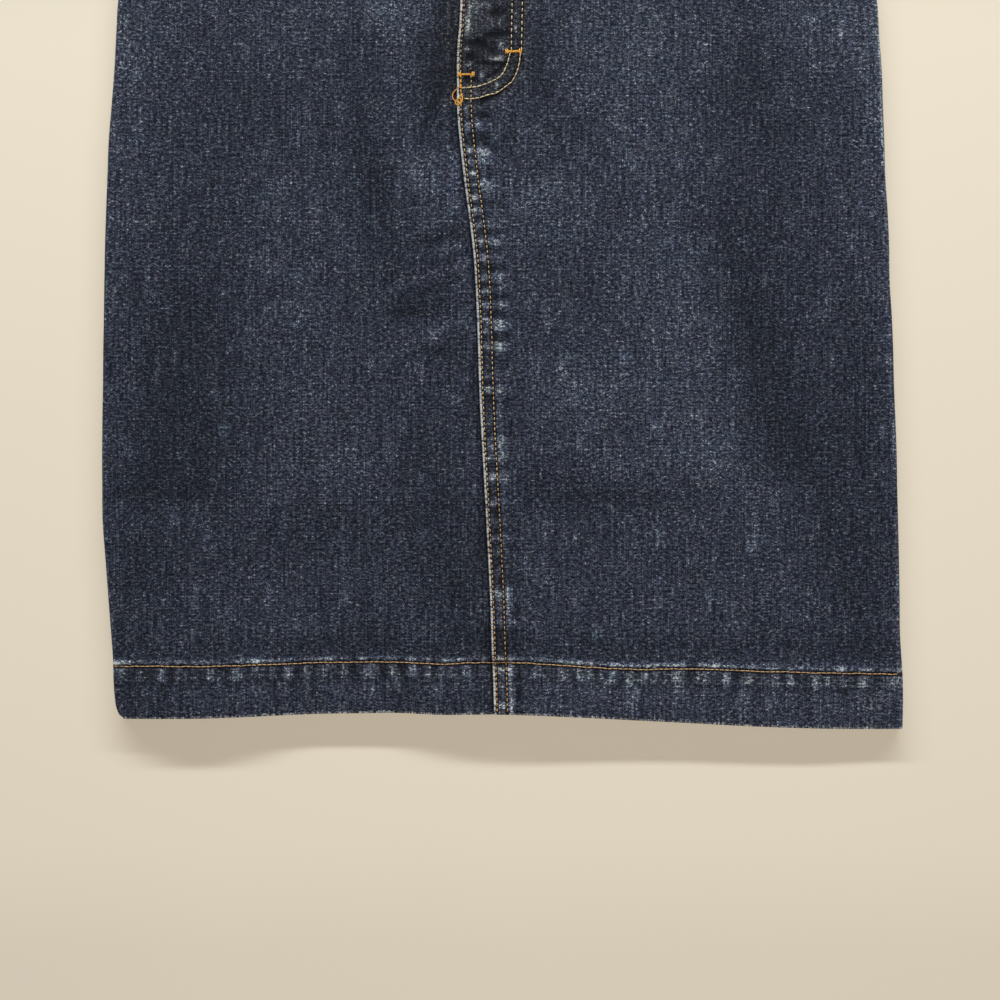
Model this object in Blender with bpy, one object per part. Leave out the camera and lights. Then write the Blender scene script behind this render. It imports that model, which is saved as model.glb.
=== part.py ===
# A straight knee-length denim skirt, lying flat and face up, for Blender 4.5.
#
# The skirt is a tube of four panels pressed flat: two fronts on top, two backs under them, with a
# fold down each side where front and back are seamed. Every panel is a wall of cloth between an
# outer and an inner grid of points. A place on the skirt is given in millimetres as (across, up):
# across runs to the viewer's right from the middle, and up runs from the lowest point of the hem
# towards the waist. Height is above the surface that the skirt lies on.
import bpy
import bmesh
import math
import numpy as np

MM = 0.001

# The cloth, and how far apart two pieces lie where they meet.
CLOTH = 1.1
GAP = 0.3
DOUBLE_CLOTH = 2.2
TURNED_HEM = 2.6
HEM_DEPTH = 33.0
HEM_STEP = 3.0
EDGE_ROUNDING = 0.6

# Lengths: the front up to its waist seam, how much higher that seam is at the sides and at the
# back, the waistband, and the whole skirt.
FRONT_LENGTH = 545.6
WAIST_RISE_AT_SIDE = 6.5
WAIST_RISE_AT_BACK = 17.4
BAND_WIDTH = 40.0
SKIRT_LENGTH = FRONT_LENGTH + WAIST_RISE_AT_BACK + BAND_WIDTH

# How high the front lies: over the back, along the side folds, in the hem and at the waist.
FRONT_HEIGHT = 4.1
SIDE_FOLD = 5.2
HEM_FOLD = 5.8
HEM_SHELF = 5.7
WAIST_HEIGHT = 4.6
SIDE_REACH = 42.0
HEM_REACH = 95.0
WAIST_REACH = 60.0
FOLD_FADE = 45.0

# The centre front: a lapped seam, with a fly above it that ends in a J.
LAP_WIDTH = 14.6
LAP_RAMP = 2.5
UNDERLAP_WIDTH = 10.0
FLY_WIDTH = 41.4
FLY_CORNER_UP = 425.0
FLY_CORNER_ACROSS = 11.0
FLY_CORNER_RADIUS_UP = 36.5
UNDERLAP_INSET = 8.0

# The back seam lies under the front seam, and the back hem ends a little short of the front one.
BACK_SEAM_AT_HEM = 3.0
BACK_SEAM_AT_WAIST = -4.0
BACK_SEAM_ALLOWANCE = 11.0
BACK_SEAM_RAMP = 3.0
BACK_HEM_SHORTER = 2.5
BACK_HEM_MEETS = (0.85, 0.97)

# The waistband.
BAND_CLOTH = 2.4
BAND_SPACE = 0.6
BAND_CHAMFER = 0.5
BAND_TAPER = 0.974
FLAT_BAND_ANGLE = 3
BAND_FRONT_STEPS = 7
BAND_RAMP_STEPS = 6
BAND_FOLD_STEPS = 8
OVERLAP_END = -27.0
UNDERLAP_END = 7.0
OVERLAP_RAMP = 12.0

# The button and its keyhole, in the end of the waistband that lies on top.
EYELET_FROM_END = 13.0
EYELET_RADIUS = 2.3
EYELET_SIDES = 12
KEYHOLE_LENGTH = 19.0
KEYHOLE_WIDTH = 1.0
BUTTON_RADIUS = 8.5
SHANK_RADIUS = 1.6
BUTTON_SIDES = 28

DENIM = (0.032, 0.042, 0.075, 1.0)
DENIM_ROUGHNESS = 0.9
BRASS = (0.42, 0.27, 0.13, 1.0)
BRASS_ROUGHNESS = 0.35


def table(columns, *rows):
    """Rows of numbers as one array for each named column."""
    return dict(zip(columns.split(), np.array(rows, float).T))


# The left and right outline, and how far round the side fold the side seam has rolled to the front.
SIDES = table(
    "up left right right_roll",
    (0, -234.0, 247.8, 0),
    (7, -235.8, 247.8, 0),
    (12, -239.0, 248.0, 0),
    (18, -240.3, 248.0, 0),
    (30, -241.5, 248.0, 0),
    (80, -244.6, 246.2, 0),
    (130, -247.7, 244.6, 0),
    (180, -248.3, 243.4, 0),
    (229, -247.7, 242.1, 0),
    (278, -247.1, 239.6, 0),
    (328, -245.8, 237.8, 12),
    (378, -242.7, 235.9, 58),
    (427, -239.6, 232.8, 30),
    (452, -238.2, 231.2, 10),
    (476, -234.4, 226.6, 0),
    (500, -227.0, 218.5, 0),
    (525, -214.5, 206.0, 0),
    (552, -199.0, 191.0, 0),
    (592, -194.0, 186.0, 0),
)
HEM_ROW = 0
WAIST_ROW = -2

# The folded edge of the centre front, which leans to the left on its way up.
FRONT_EDGE = table(
    "up across",
    (0, -5.2),
    (74, -7.1),
    (136, -10.2),
    (198, -13.6),
    (260, -15.8),
    (291, -17.4),
    (322, -20.8),
    (353, -24.5),
    (384, -27.6),
    (415, -27.8),
    (460, -27.2),
    (552, -27.0),
)

# The hem: its edge rises a little at the left of the middle, and it lifts off the back in waves.
HEM = table(
    "across up height",
    (-240, 6.2, 5.8),
    (-212, 6.5, 8.8),
    (-188, 6.8, 9.1),
    (-163, 7.6, 8.6),
    (-138, 8.7, 6.6),
    (-113, 9.8, 5.9),
    (-88, 10.3, 5.9),
    (-64, 10.4, 6.4),
    (-39, 9.0, 8.3),
    (-14, 9.5, 8.9),
    (11, 9.2, 8.8),
    (36, 8.0, 8.3),
    (60, 6.8, 7.7),
    (85, 5.6, 7.1),
    (110, 4.2, 6.7),
    (160, 1.5, 6.4),
    (209, 0.1, 6.3),
    (248, 0.0, 5.8),
)

# The largest folds, each from one place to another: ridges stand up, and troughs have a height under 0.
FOLDS = table(
    "from_across from_up to_across to_up half_width height",
    (-160, 440, -192, 260, 26, -0.9),
    (-195, 240, -214, 150, 26, -1.3),
    (-150, 350, -100, 150, 32, 0.9),
    (-82, 410, -72, 280, 14, -0.9),
    (-85, 262, -38, 260, 11, -0.7),
    (-40, 225, -42, 80, 17, -0.8),
    (-62, 365, -36, 325, 18, 0.9),
    (-48, 440, -50, 400, 13, -0.7),
    (-130, 125, -60, 122, 14, -0.6),
    (95, 340, 128, 160, 30, 1.1),
    (128, 160, 170, 95, 24, 0.9),
    (30, 215, 70, 200, 22, 0.8),
    (20, 148, 120, 140, 14, -0.7),
    (150, 450, 158, 370, 24, -0.8),
    (142, 300, 192, 165, 20, -1.2),
    (192, 165, 226, 70, 20, -0.9),
    (208, 420, 214, 250, 18, 0.5),
    (2, 500, 4, 90, 22, 0.5),
)

# The rows of points up every panel, as runs of evenly spaced heights over the hem.
ROWS = table(
    "start end count",
    (0, 0, 1),
    (0.8, 0.8, 1),
    (12, HEM_DEPTH, 3),
    (HEM_DEPTH + HEM_STEP, 370, 15),
    (381, 396, 4),
    (402, 426, 4),
    (444, 545, 6),
)
# Columns of points across a panel: places in from the folded edge, then even steps to the side fold.
LEFT_LAP_COLUMNS = (0.0, 0.8, 6.0, 11.0, 12.6, LAP_WIDTH, 22.0, 30.0, 37.5, 40.0, 42.0)
UNDERLAP_SHARES = (1.0, 0.5, 0.0)
RIGHT_LAP_COLUMNS = (-0.6, -1.3, -12.0)
BACK_SEAM_COLUMNS = (0.0, BACK_SEAM_ALLOWANCE, BACK_SEAM_ALLOWANCE + BACK_SEAM_RAMP)
FRONT_BODY_STEPS = 11
BACK_BODY_STEPS = 5
FOLD_STEPS = 5


def along(rows, key, name, at):
    """A column of a table, read along a smooth curve through its rows."""
    places = rows[key]
    values = rows[name]
    slopes = np.gradient(values, places)
    at = np.clip(at, places[0], places[-1])
    i = np.clip(np.searchsorted(places, at) - 1, 0, len(places) - 2)
    step = places[i + 1] - places[i]
    t = (at - places[i]) / step
    rise = values[i + 1] - values[i]
    bend_in = step * slopes[i] - rise
    bend_out = rise - step * slopes[i + 1]
    return values[i] + t * rise + t * (1 - t) * ((1 - t) * bend_in + t * bend_out)


def eased(value, start, end):
    """0 before start and 1 after end, turning smoothly between them."""
    t = np.clip((value - start) / (end - start), 0, 1)
    return t * t * (3 - 2 * t)


def runs(rows):
    """All the places of a table of evenly spaced runs."""
    return np.concatenate(
        [
            np.linspace(start, end, int(count))
            for start, end, count in zip(rows["start"], rows["end"], rows["count"])
        ]
    )


# Lines on the skirt


def hem_edge(across):
    return along(HEM, "across", "up", across)


def side_share(across, table_row):
    """0 in the middle and 1 at either side edge, by the outline in one row of its table."""
    edge = np.where(across > 0, SIDES["right"][table_row], SIDES["left"][table_row])
    return np.minimum(across / edge, 1)


def front_waist(across):
    return FRONT_LENGTH + WAIST_RISE_AT_SIDE * side_share(across, WAIST_ROW) ** 2


def back_hem_edge(across):
    return hem_edge(across) + BACK_HEM_SHORTER * (1 - eased(side_share(across, HEM_ROW), *BACK_HEM_MEETS))


def back_waist(across):
    drop = WAIST_RISE_AT_BACK - WAIST_RISE_AT_SIDE
    return FRONT_LENGTH + WAIST_RISE_AT_BACK - drop * side_share(across, WAIST_ROW) ** 2


def up_at(row, across, hem, waist):
    """How far up a row of points lies: a fixed way above the hem, or a share of the way to the waist."""
    turned = HEM_DEPTH + HEM_STEP
    share = np.clip((row - turned) / (FRONT_LENGTH - GAP - turned), 0, 1)
    low = hem(across) + np.minimum(row, turned)
    return low + share * (waist(across) - GAP - low)


def side_edge(side, up):
    return along(SIDES, "up", side, up)


def front_edge(up):
    return along(FRONT_EDGE, "up", "across", up)


def back_seam(up):
    share = up / FRONT_LENGTH
    return BACK_SEAM_AT_HEM + (BACK_SEAM_AT_WAIST - BACK_SEAM_AT_HEM) * share


def inside_fly(offset, up):
    """How far inside the J of the fly a place lies, measured across from the folded edge."""
    half_width = FLY_WIDTH - FLY_CORNER_ACROSS
    over = np.maximum(offset - FLY_CORNER_ACROSS, 0) / half_width
    down = np.maximum(FLY_CORNER_UP - up, 0) / FLY_CORNER_RADIUS_UP
    return half_width * (1 - np.hypot(over, down))


def underlap_width(up):
    """How far the right front runs on under the left one: wider behind the fly."""
    half_width = FLY_WIDTH - FLY_CORNER_ACROSS - UNDERLAP_INSET
    down = np.clip((FLY_CORNER_UP - up) / (FLY_CORNER_RADIUS_UP - UNDERLAP_INSET), 0, 1)
    return UNDERLAP_WIDTH + half_width * np.sqrt(1 - down**2)


def lapped(offset, up, inset):
    """1 where the left front lies doubled over the right one, and 0 past the seam and the fly."""
    inside = np.maximum(LAP_WIDTH - offset, inside_fly(offset, up))
    return eased(inside - inset, 0, LAP_RAMP)


# Heights and thicknesses


def wall_at(row):
    """The thickness of the cloth, which is turned up twice in the hem."""
    return TURNED_HEM + (CLOTH - TURNED_HEM) * eased(row, HEM_DEPTH, HEM_DEPTH + HEM_STEP)


def fold_radius(row):
    hem_share = 1 - eased(row, HEM_DEPTH, HEM_REACH)
    return (SIDE_FOLD + (HEM_FOLD - SIDE_FOLD) * hem_share) / 2


def rounding_at(row):
    return np.where(row < EDGE_ROUNDING, EDGE_ROUNDING, 0.0)


def fold_height(across, up):
    """The ridges and troughs of the cloth: each is highest on its own line and fades to its ends."""
    height = np.zeros(np.broadcast(across, up).shape)
    for x1, y1, x2, y2, half_width, rise in zip(*FOLDS.values()):
        length = math.hypot(x2 - x1, y2 - y1)
        way_x = (x2 - x1) / length
        way_y = (y2 - y1) / length
        on_line = np.clip((across - x1) * way_x + (up - y1) * way_y, 0, length)
        off_line = np.hypot(across - x1 - on_line * way_x, up - y1 - on_line * way_y)
        height += rise * np.exp(-((off_line / half_width) ** 2))
    return height


def front_height(across, up, row):
    """The height of the plain front, without the lap of its seam."""
    hem = hem_edge(across)
    from_hem = up - hem
    to_waist = front_waist(across) - up
    calm = eased(from_hem, HEM_DEPTH, HEM_DEPTH + FOLD_FADE) * eased(to_waist, 0, WAIST_REACH)
    body = FRONT_HEIGHT + calm * fold_height(across, up)
    body += (WAIST_HEIGHT - FRONT_HEIGHT) * (1 - eased(to_waist, 0, WAIST_REACH))
    shelf = 1 - eased(from_hem, HEM_DEPTH + HEM_STEP, HEM_REACH)
    body += (HEM_SHELF - FRONT_HEIGHT) * shelf
    lift = along(HEM, "across", "height", across) - HEM_SHELF
    body += lift * (1 - eased(from_hem, 0, HEM_DEPTH))
    to_side = np.minimum(across - side_edge("left", up), side_edge("right", up) - across)
    near_side = 1 - eased(to_side - fold_radius(row), 0, SIDE_REACH)
    return body + (2 * fold_radius(row) - body) * near_side


# Meshes


def denim():
    material = bpy.data.materials.get("denim") or bpy.data.materials.new("denim")
    material.use_nodes = True
    shader = material.node_tree.nodes["Principled BSDF"]
    shader.inputs["Base Color"].default_value = DENIM
    shader.inputs["Roughness"].default_value = DENIM_ROUGHNESS
    return material


def brass():
    material = bpy.data.materials.new("aged brass")
    material.use_nodes = True
    shader = material.node_tree.nodes["Principled BSDF"]
    shader.inputs["Base Color"].default_value = BRASS
    shader.inputs["Roughness"].default_value = BRASS_ROUGHNESS
    shader.inputs["Metallic"].default_value = 1.0
    return material


def add_object(name, points, faces, material, smooth_below=40):
    """A closed mesh from points as (across, up, height) in millimetres, with its faces turned out."""
    mesh = bpy.data.meshes.new(name)
    bm = bmesh.new()
    corners = [bm.verts.new((x * MM, (up - SKIRT_LENGTH / 2) * MM, z * MM)) for x, up, z in points]
    for face in faces:
        bm.faces.new([corners[i] for i in face])
    bmesh.ops.recalc_face_normals(bm, faces=bm.faces)
    bm.to_mesh(mesh)
    bm.free()
    mesh.shade_smooth()
    mesh.set_sharp_from_angle(angle=math.radians(smooth_below))
    mesh.materials.append(material)
    obj = bpy.data.objects.new(name, mesh)
    bpy.context.scene.collection.objects.link(obj)
    return obj


def add_wall(name, outer, inner, material):
    """Joins an outer and an inner grid of points into one closed wall."""
    rows, columns = outer.shape[:2]
    inner_start = rows * columns

    def corner(r, c):
        return r * columns + c

    faces = []
    for r in range(rows - 1):
        for c in range(columns - 1):
            square = [corner(r, c), corner(r, c + 1), corner(r + 1, c + 1), corner(r + 1, c)]
            faces.append(square)
            faces.append([inner_start + i for i in reversed(square)])
    rim = [corner(0, c) for c in range(columns)]
    rim += [corner(r, columns - 1) for r in range(1, rows)]
    rim += [corner(rows - 1, c) for c in range(columns - 2, -1, -1)]
    rim += [corner(r, 0) for r in range(rows - 2, 0, -1)]
    for a, b in zip(rim, rim[1:] + rim[:1]):
        faces.append([a, inner_start + a, inner_start + b, b])
    points = np.concatenate([outer.reshape(-1, 3), inner.reshape(-1, 3)])
    return add_object(name, points, faces, material)


def side_arc(side, up, rows, on_front):
    """The columns round a side fold, from its flat edge to the side seam: outer and inner points."""
    outward = 1 if side == "right" else -1
    edge = side_edge(side, up)
    radius = fold_radius(rows)
    middle = edge - outward * radius
    roll = np.radians(along(SIDES, "up", "right_roll", up)) if side == "right" else np.zeros_like(up)
    turn = 1 if on_front else -1
    outer_radius = radius - rounding_at(rows)
    inner_radius = radius - wall_at(rows) + rounding_at(rows) / 2
    grids = []
    for r in (outer_radius, inner_radius):
        seam = roll + turn * np.arcsin(GAP / 2 / r)
        columns = []
        for step in range(1, FOLD_STEPS + 1):
            angle = turn * math.pi / 2 + (seam - turn * math.pi / 2) * step / FOLD_STEPS
            place = (middle + outward * r * np.cos(angle), up, radius + r * np.sin(angle))
            columns.append(np.stack(place, axis=-1))
        grids.append(np.stack(columns, axis=1))
    return grids


def panel_rows(near_across, side, hem, waist):
    """Each row's number, how far up it starts at the seam, and how far up it ends at the side."""
    rows = runs(ROWS)
    up_seam = up_at(rows, near_across, hem, waist)
    edge = side_edge(side, up_seam)
    return rows, up_seam, up_at(rows, edge, hem, waist)


def across_panel(seam_columns, rows, side, up_side, body_steps):
    """The across of every flat point of a panel, from its seam columns to where the side fold starts."""
    outward = 1 if side == "right" else -1
    flat_end = side_edge(side, up_side) - outward * fold_radius(rows)
    start = seam_columns[:, -1]
    shares = np.arange(1, body_steps + 1) / body_steps
    body = start[:, None] + (flat_end - start)[:, None] * shares
    return np.concatenate([seam_columns, body], axis=1)


def front_left_panel():
    """The front on the viewer's right, folded under at the centre and lapped over the other front."""
    rows, up_seam, up_side = panel_rows(front_edge(0), "right", hem_edge, front_waist)
    offsets = np.array(LEFT_LAP_COLUMNS)
    seam = front_edge(up_seam)[:, None] + offsets
    across = across_panel(seam, rows, "right", up_side, FRONT_BODY_STEPS)
    row = rows[:, None]
    up = up_at(row, across, hem_edge, front_waist)
    offset = across - front_edge(up)
    wall = wall_at(row)
    doubled = lapped(offset, up, 0)
    raised = lapped(offset, up, LAP_RAMP / 2)
    inner = front_height(across, up, row) - wall + (CLOTH + GAP) * raised
    outer = inner + wall + np.maximum(DOUBLE_CLOTH - wall, 0) * doubled
    fold_rounding = np.where(np.arange(across.shape[1]) == 0, EDGE_ROUNDING, 0.0)
    rounding = np.maximum(rounding_at(row), fold_rounding)
    outer_grid = np.stack([across, up, outer - rounding], axis=-1)
    inner_grid = np.stack([across, up, inner + rounding / 2], axis=-1)
    arc_outer, arc_inner = side_arc("right", up_side, rows, True)
    add_wall(
        "front_left_panel",
        np.concatenate([outer_grid, arc_outer], axis=1),
        np.concatenate([inner_grid, arc_inner], axis=1),
        denim(),
    )


def front_right_panel():
    """The front on the viewer's left, which runs on under the folded edge of the other front."""
    rows, up_seam, up_side = panel_rows(front_edge(0), "left", hem_edge, front_waist)
    edge = front_edge(up_seam)[:, None]
    under = edge + underlap_width(up_seam)[:, None] * np.array(UNDERLAP_SHARES)
    seam = np.concatenate([under, edge + np.array(RIGHT_LAP_COLUMNS)], axis=1)
    across = across_panel(seam, rows, "left", up_side, FRONT_BODY_STEPS)
    row = rows[:, None]
    up = up_at(row, across, hem_edge, front_waist)
    wall = wall_at(row)
    inner = front_height(across, up, row) - wall
    visible = 1 - eased(across - front_edge(up), RIGHT_LAP_COLUMNS[1], RIGHT_LAP_COLUMNS[0])
    outer = inner + CLOTH + (wall - CLOTH) * visible
    rounding = np.minimum(rounding_at(row), (outer - inner) / 3)
    outer_grid = np.stack([across, up, outer - rounding], axis=-1)
    inner_grid = np.stack([across, up, inner + rounding / 2], axis=-1)
    arc_outer, arc_inner = side_arc("left", up_side, rows, True)
    add_wall(
        "front_right_panel",
        np.concatenate([outer_grid, arc_outer], axis=1),
        np.concatenate([inner_grid, arc_inner], axis=1),
        denim(),
    )


def back_panel(name, side):
    """A back, flat on the surface below it, with its centre seam allowance lying on its inside."""
    outward = 1 if side == "right" else -1
    rows, up_seam, up_side = panel_rows(back_seam(0), side, back_hem_edge, back_waist)
    offsets = outward * (GAP / 2 + np.array(BACK_SEAM_COLUMNS))
    seam = back_seam(up_seam)[:, None] + offsets
    across = across_panel(seam, rows, side, up_side, BACK_BODY_STEPS)
    row = rows[:, None]
    up = up_at(row, across, back_hem_edge, back_waist)
    wall = wall_at(row)
    from_seam = np.abs(across - back_seam(up)) - GAP / 2
    doubled = 1 - eased(from_seam, BACK_SEAM_ALLOWANCE, BACK_SEAM_ALLOWANCE + BACK_SEAM_RAMP)
    inner = wall + np.maximum(DOUBLE_CLOTH - wall, 0) * doubled
    rounding = rounding_at(row)
    outer_grid = np.stack([across, up, 0 * across + rounding], axis=-1)
    inner_grid = np.stack([across, up, inner - rounding / 2], axis=-1)
    arc_outer, arc_inner = side_arc(side, up_side, rows, False)
    add_wall(
        name,
        np.concatenate([outer_grid, arc_outer], axis=1),
        np.concatenate([inner_grid, arc_inner], axis=1),
        denim(),
    )


def half_turn(middle, height, radius, start):
    """The points of a half circle, clockwise from an angle, without its two ends."""
    angles = start - math.pi * np.arange(1, BAND_FOLD_STEPS) / BAND_FOLD_STEPS
    return [(middle + radius * math.cos(a), height + radius * math.sin(a)) for a in angles]


def band_path():
    """The middle line of the waistband as (across, height), from its overlap end to its underlap end."""
    back = BAND_CLOTH / 2
    front = back + BAND_CLOTH + BAND_SPACE
    over = front + BAND_CLOTH + GAP
    radius = (front - back) / 2
    right = SIDES["right"][WAIST_ROW] - radius - BAND_CLOTH / 2
    left = SIDES["left"][WAIST_ROW] + radius + BAND_CLOTH / 2
    ramp_start = UNDERLAP_END + 1
    ramp_end = ramp_start + OVERLAP_RAMP
    path = [(x, over) for x in np.linspace(OVERLAP_END, ramp_start, 3)]
    for share in np.linspace(0, 1, BAND_RAMP_STEPS + 1)[1:]:
        height = over + (front - over) * eased(share, 0, 1)
        path.append((ramp_start + share * OVERLAP_RAMP, height))
    path += [(x, front) for x in np.linspace(ramp_end, right, BAND_FRONT_STEPS)[1:]]
    path += half_turn(right, back + radius, radius, math.pi / 2)
    path += [(x, back) for x in np.linspace(right, left, 2 * BAND_FRONT_STEPS)]
    path += half_turn(left, back + radius, radius, -math.pi / 2)
    path += [(x, front) for x in np.linspace(left, UNDERLAP_END, BAND_FRONT_STEPS + 1)]
    return np.array(path)


def waistband():
    """One strip that goes once round and ends under its own start."""
    path = band_path()
    ahead = np.gradient(path, axis=0)
    ahead /= np.linalg.norm(ahead, axis=1)[:, None]
    outward = np.stack([-ahead[:, 1], ahead[:, 0]], axis=1)
    half = BAND_CLOTH / 2
    chamfered = half - BAND_CHAMFER
    section = (
        (-half, BAND_CHAMFER),
        (-half, BAND_WIDTH - BAND_CHAMFER),
        (-chamfered, BAND_WIDTH),
        (chamfered, BAND_WIDTH),
        (half, BAND_WIDTH - BAND_CHAMFER),
        (half, BAND_CHAMFER),
        (chamfered, 0),
        (-chamfered, 0),
    )
    middle = (SIDES["left"][WAIST_ROW] + SIDES["right"][WAIST_ROW]) / 2
    lowest_front = BAND_CLOTH + BAND_SPACE / 2
    points = []
    for (x, z), (out_x, out_z) in zip(path, outward):
        seam_line = front_waist(x) if z > lowest_front else back_waist(x)
        for out, up in section:
            taper = 1 + (BAND_TAPER - 1) * up / BAND_WIDTH
            across = middle + (x + out * out_x - middle) * taper
            points.append((across, seam_line + up, z + out * out_z))
    sides = len(section)
    faces = [list(range(sides)), list(range((len(path) - 1) * sides, len(path) * sides))]
    for ring in range(len(path) - 1):
        for side in range(sides):
            a = ring * sides + side
            b = ring * sides + (side + 1) % sides
            faces.append([a, b, b + sides, a + sides])
    band = add_object("waistband", points, faces, denim(), smooth_below=FLAT_BAND_ANGLE)
    keyhole = band.modifiers.new("keyhole", "BOOLEAN")
    keyhole.object = keyhole_cutter()
    keyhole.operation = "DIFFERENCE"


def button_place():
    """(across, up) of the button, and the heights of the underlap and the overlap that it joins."""
    across = OVERLAP_END + EYELET_FROM_END
    up = front_waist(across) + BAND_WIDTH / 2
    underlap_top = 2 * BAND_CLOTH + BAND_SPACE
    return across, up, underlap_top, underlap_top + GAP + BAND_CLOTH


def keyhole_cutter():
    """A keyhole-shaped block that cuts through the overlap only."""
    across, up, underlap_top, overlap_top = button_place()
    half_angle = math.asin(KEYHOLE_WIDTH / 2 / EYELET_RADIUS)
    outline = []
    for angle in np.linspace(half_angle, 2 * math.pi - half_angle, EYELET_SIDES + 1):
        outline.append((across + EYELET_RADIUS * math.cos(angle), up + EYELET_RADIUS * math.sin(angle)))
    slot_end = across + KEYHOLE_LENGTH
    outline += [(slot_end, up - KEYHOLE_WIDTH / 2), (slot_end, up + KEYHOLE_WIDTH / 2)]
    count = len(outline)
    heights = (underlap_top + GAP / 2, overlap_top + 1)
    points = [(x, y, z) for z in heights for x, y in outline]
    faces = [list(range(count)), list(range(count, 2 * count))]
    faces += [[i, (i + 1) % count, count + (i + 1) % count, count + i] for i in range(count)]
    cutter = add_object("keyhole_cutter", points, faces, denim())
    cutter.hide_render = True
    cutter.display_type = "WIRE"
    return cutter


def waist_button():
    """A shank button, turned: its shank stands in the eyelet and its cap lies on the overlap."""
    across, up, underlap_top, overlap_top = button_place()
    foot = underlap_top + GAP
    seat = overlap_top + GAP
    profile = table(
        "radius height",
        (SHANK_RADIUS, foot),
        (SHANK_RADIUS, seat),
        (BUTTON_RADIUS - 0.6, seat),
        (BUTTON_RADIUS, seat + 0.5),
        (BUTTON_RADIUS, seat + 1.4),
        (BUTTON_RADIUS - 0.5, seat + 2.1),
        (BUTTON_RADIUS - 1.3, seat + 2.3),
        (BUTTON_RADIUS - 2.1, seat + 1.7),
        (BUTTON_RADIUS - 3.4, seat + 1.6),
        (BUTTON_RADIUS - 5.6, seat + 2.1),
    )
    points = []
    for radius, height in zip(profile["radius"], profile["height"]):
        for step in range(BUTTON_SIDES):
            angle = 2 * math.pi * step / BUTTON_SIDES
            points.append((across + radius * math.cos(angle), up + radius * math.sin(angle), height))
    rings = len(profile["radius"])
    faces = []
    for ring in range(rings - 1):
        for step in range(BUTTON_SIDES):
            a = ring * BUTTON_SIDES + step
            b = ring * BUTTON_SIDES + (step + 1) % BUTTON_SIDES
            faces.append([a, b, b + BUTTON_SIDES, a + BUTTON_SIDES])
    last = (rings - 1) * BUTTON_SIDES
    faces.append(list(range(BUTTON_SIDES)))
    faces.append(list(range(last, last + BUTTON_SIDES)))
    add_object("waist_button", points, faces, brass())


for obj in list(bpy.data.objects):
    bpy.data.objects.remove(obj, do_unlink=True)

back_panel("back_right_panel", "left")
back_panel("back_left_panel", "right")
front_right_panel()
front_left_panel()
waistband()
waist_button()
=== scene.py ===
import math

import bmesh
import bpy
import numpy as np
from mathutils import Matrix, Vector
from mathutils.bvhtree import BVHTree


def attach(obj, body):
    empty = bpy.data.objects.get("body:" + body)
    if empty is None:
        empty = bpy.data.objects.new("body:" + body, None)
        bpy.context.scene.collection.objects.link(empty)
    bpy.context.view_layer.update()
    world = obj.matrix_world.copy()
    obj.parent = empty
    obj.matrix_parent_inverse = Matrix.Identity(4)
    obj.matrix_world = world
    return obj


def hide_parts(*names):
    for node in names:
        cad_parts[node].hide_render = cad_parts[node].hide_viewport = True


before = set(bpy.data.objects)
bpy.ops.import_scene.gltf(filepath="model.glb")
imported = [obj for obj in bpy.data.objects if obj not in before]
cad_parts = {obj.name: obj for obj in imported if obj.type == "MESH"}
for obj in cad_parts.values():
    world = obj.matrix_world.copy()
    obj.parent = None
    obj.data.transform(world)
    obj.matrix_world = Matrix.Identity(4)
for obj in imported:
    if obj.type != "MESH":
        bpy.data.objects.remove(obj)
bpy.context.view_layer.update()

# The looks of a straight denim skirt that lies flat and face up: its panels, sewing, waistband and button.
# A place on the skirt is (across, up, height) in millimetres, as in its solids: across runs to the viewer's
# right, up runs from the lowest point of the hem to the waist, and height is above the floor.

mm = 0.001
farAway = 99.0  # a distance that no edge effect reaches
tiny = 0.01
rayStart = 50.0  # how far off the cloth its surface is felt for
rowStep = 5.0  # between the points of a line to sew along
rimAngles = np.radians([50, 90, 130])  # the rings round a shell's rim, as turns from its outer sheet

# sizes of the form, the same as in the solids
skirt = {
    "cloth": 1.1,
    "gap": 0.3,
    "doubleCloth": 2.2,
    "turnedHem": 2.6,
    "hemDepth": 33.0,
    "hemStep": 3.0,
    "frontLength": 545.6,
    "waistRiseAtSide": 6.5,
    "waistRiseAtBack": 17.4,
    "bandWidth": 40.0,
    "frontHeight": 4.1,
    "sideFold": 5.2,
    "hemFold": 5.8,
    "hemShelf": 5.7,
    "waistHeight": 4.6,
    "sideReach": 42.0,
    "hemReach": 95.0,
    "waistReach": 60.0,
    "foldFade": 45.0,
    "lapWidth": 14.6,
    "lapRamp": 2.5,
    "flyRamp": (-3.0, 12.0),
    "underlapWidth": 10.0,
    "flyWidth": 41.4,
    "flyCornerUp": 425.0,
    "flyCornerAcross": 11.0,
    "flyCornerRadiusUp": 36.5,
    "underlapInset": 8.0,
    "backSeamAtHem": 3.0,
    "backSeamAtWaist": -4.0,
    "backSeamAllowance": 11.0,
    "backSeamRamp": 3.0,
    "backHemShorter": 2.5,
    "backHemMeets": (0.85, 0.97),
    "hemPress": 1.4,  # how much flatter the hem is pressed where the seam makes it thick
    "hemPressAcross": ((-8, -1), (11.6, 16.1)),
    "hemPressUp": (8, 70),
    "flyPress": 1.3,  # and the fly, where its three layers lie
    "flyPressInside": (-4, 8),
    "flyPressAcross": (-26, -1),
    "underside": 0.35,  # the cloth lies this far over the floor, on the stitches under it
}
skirt["length"] = skirt["frontLength"] + skirt["waistRiseAtBack"] + skirt["bandWidth"]
skirt["hemTop"] = skirt["hemDepth"] + skirt["hemStep"]


def readTable(columns, *rows):
    return dict(zip(columns.split(), np.array(rows, float).T))


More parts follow.
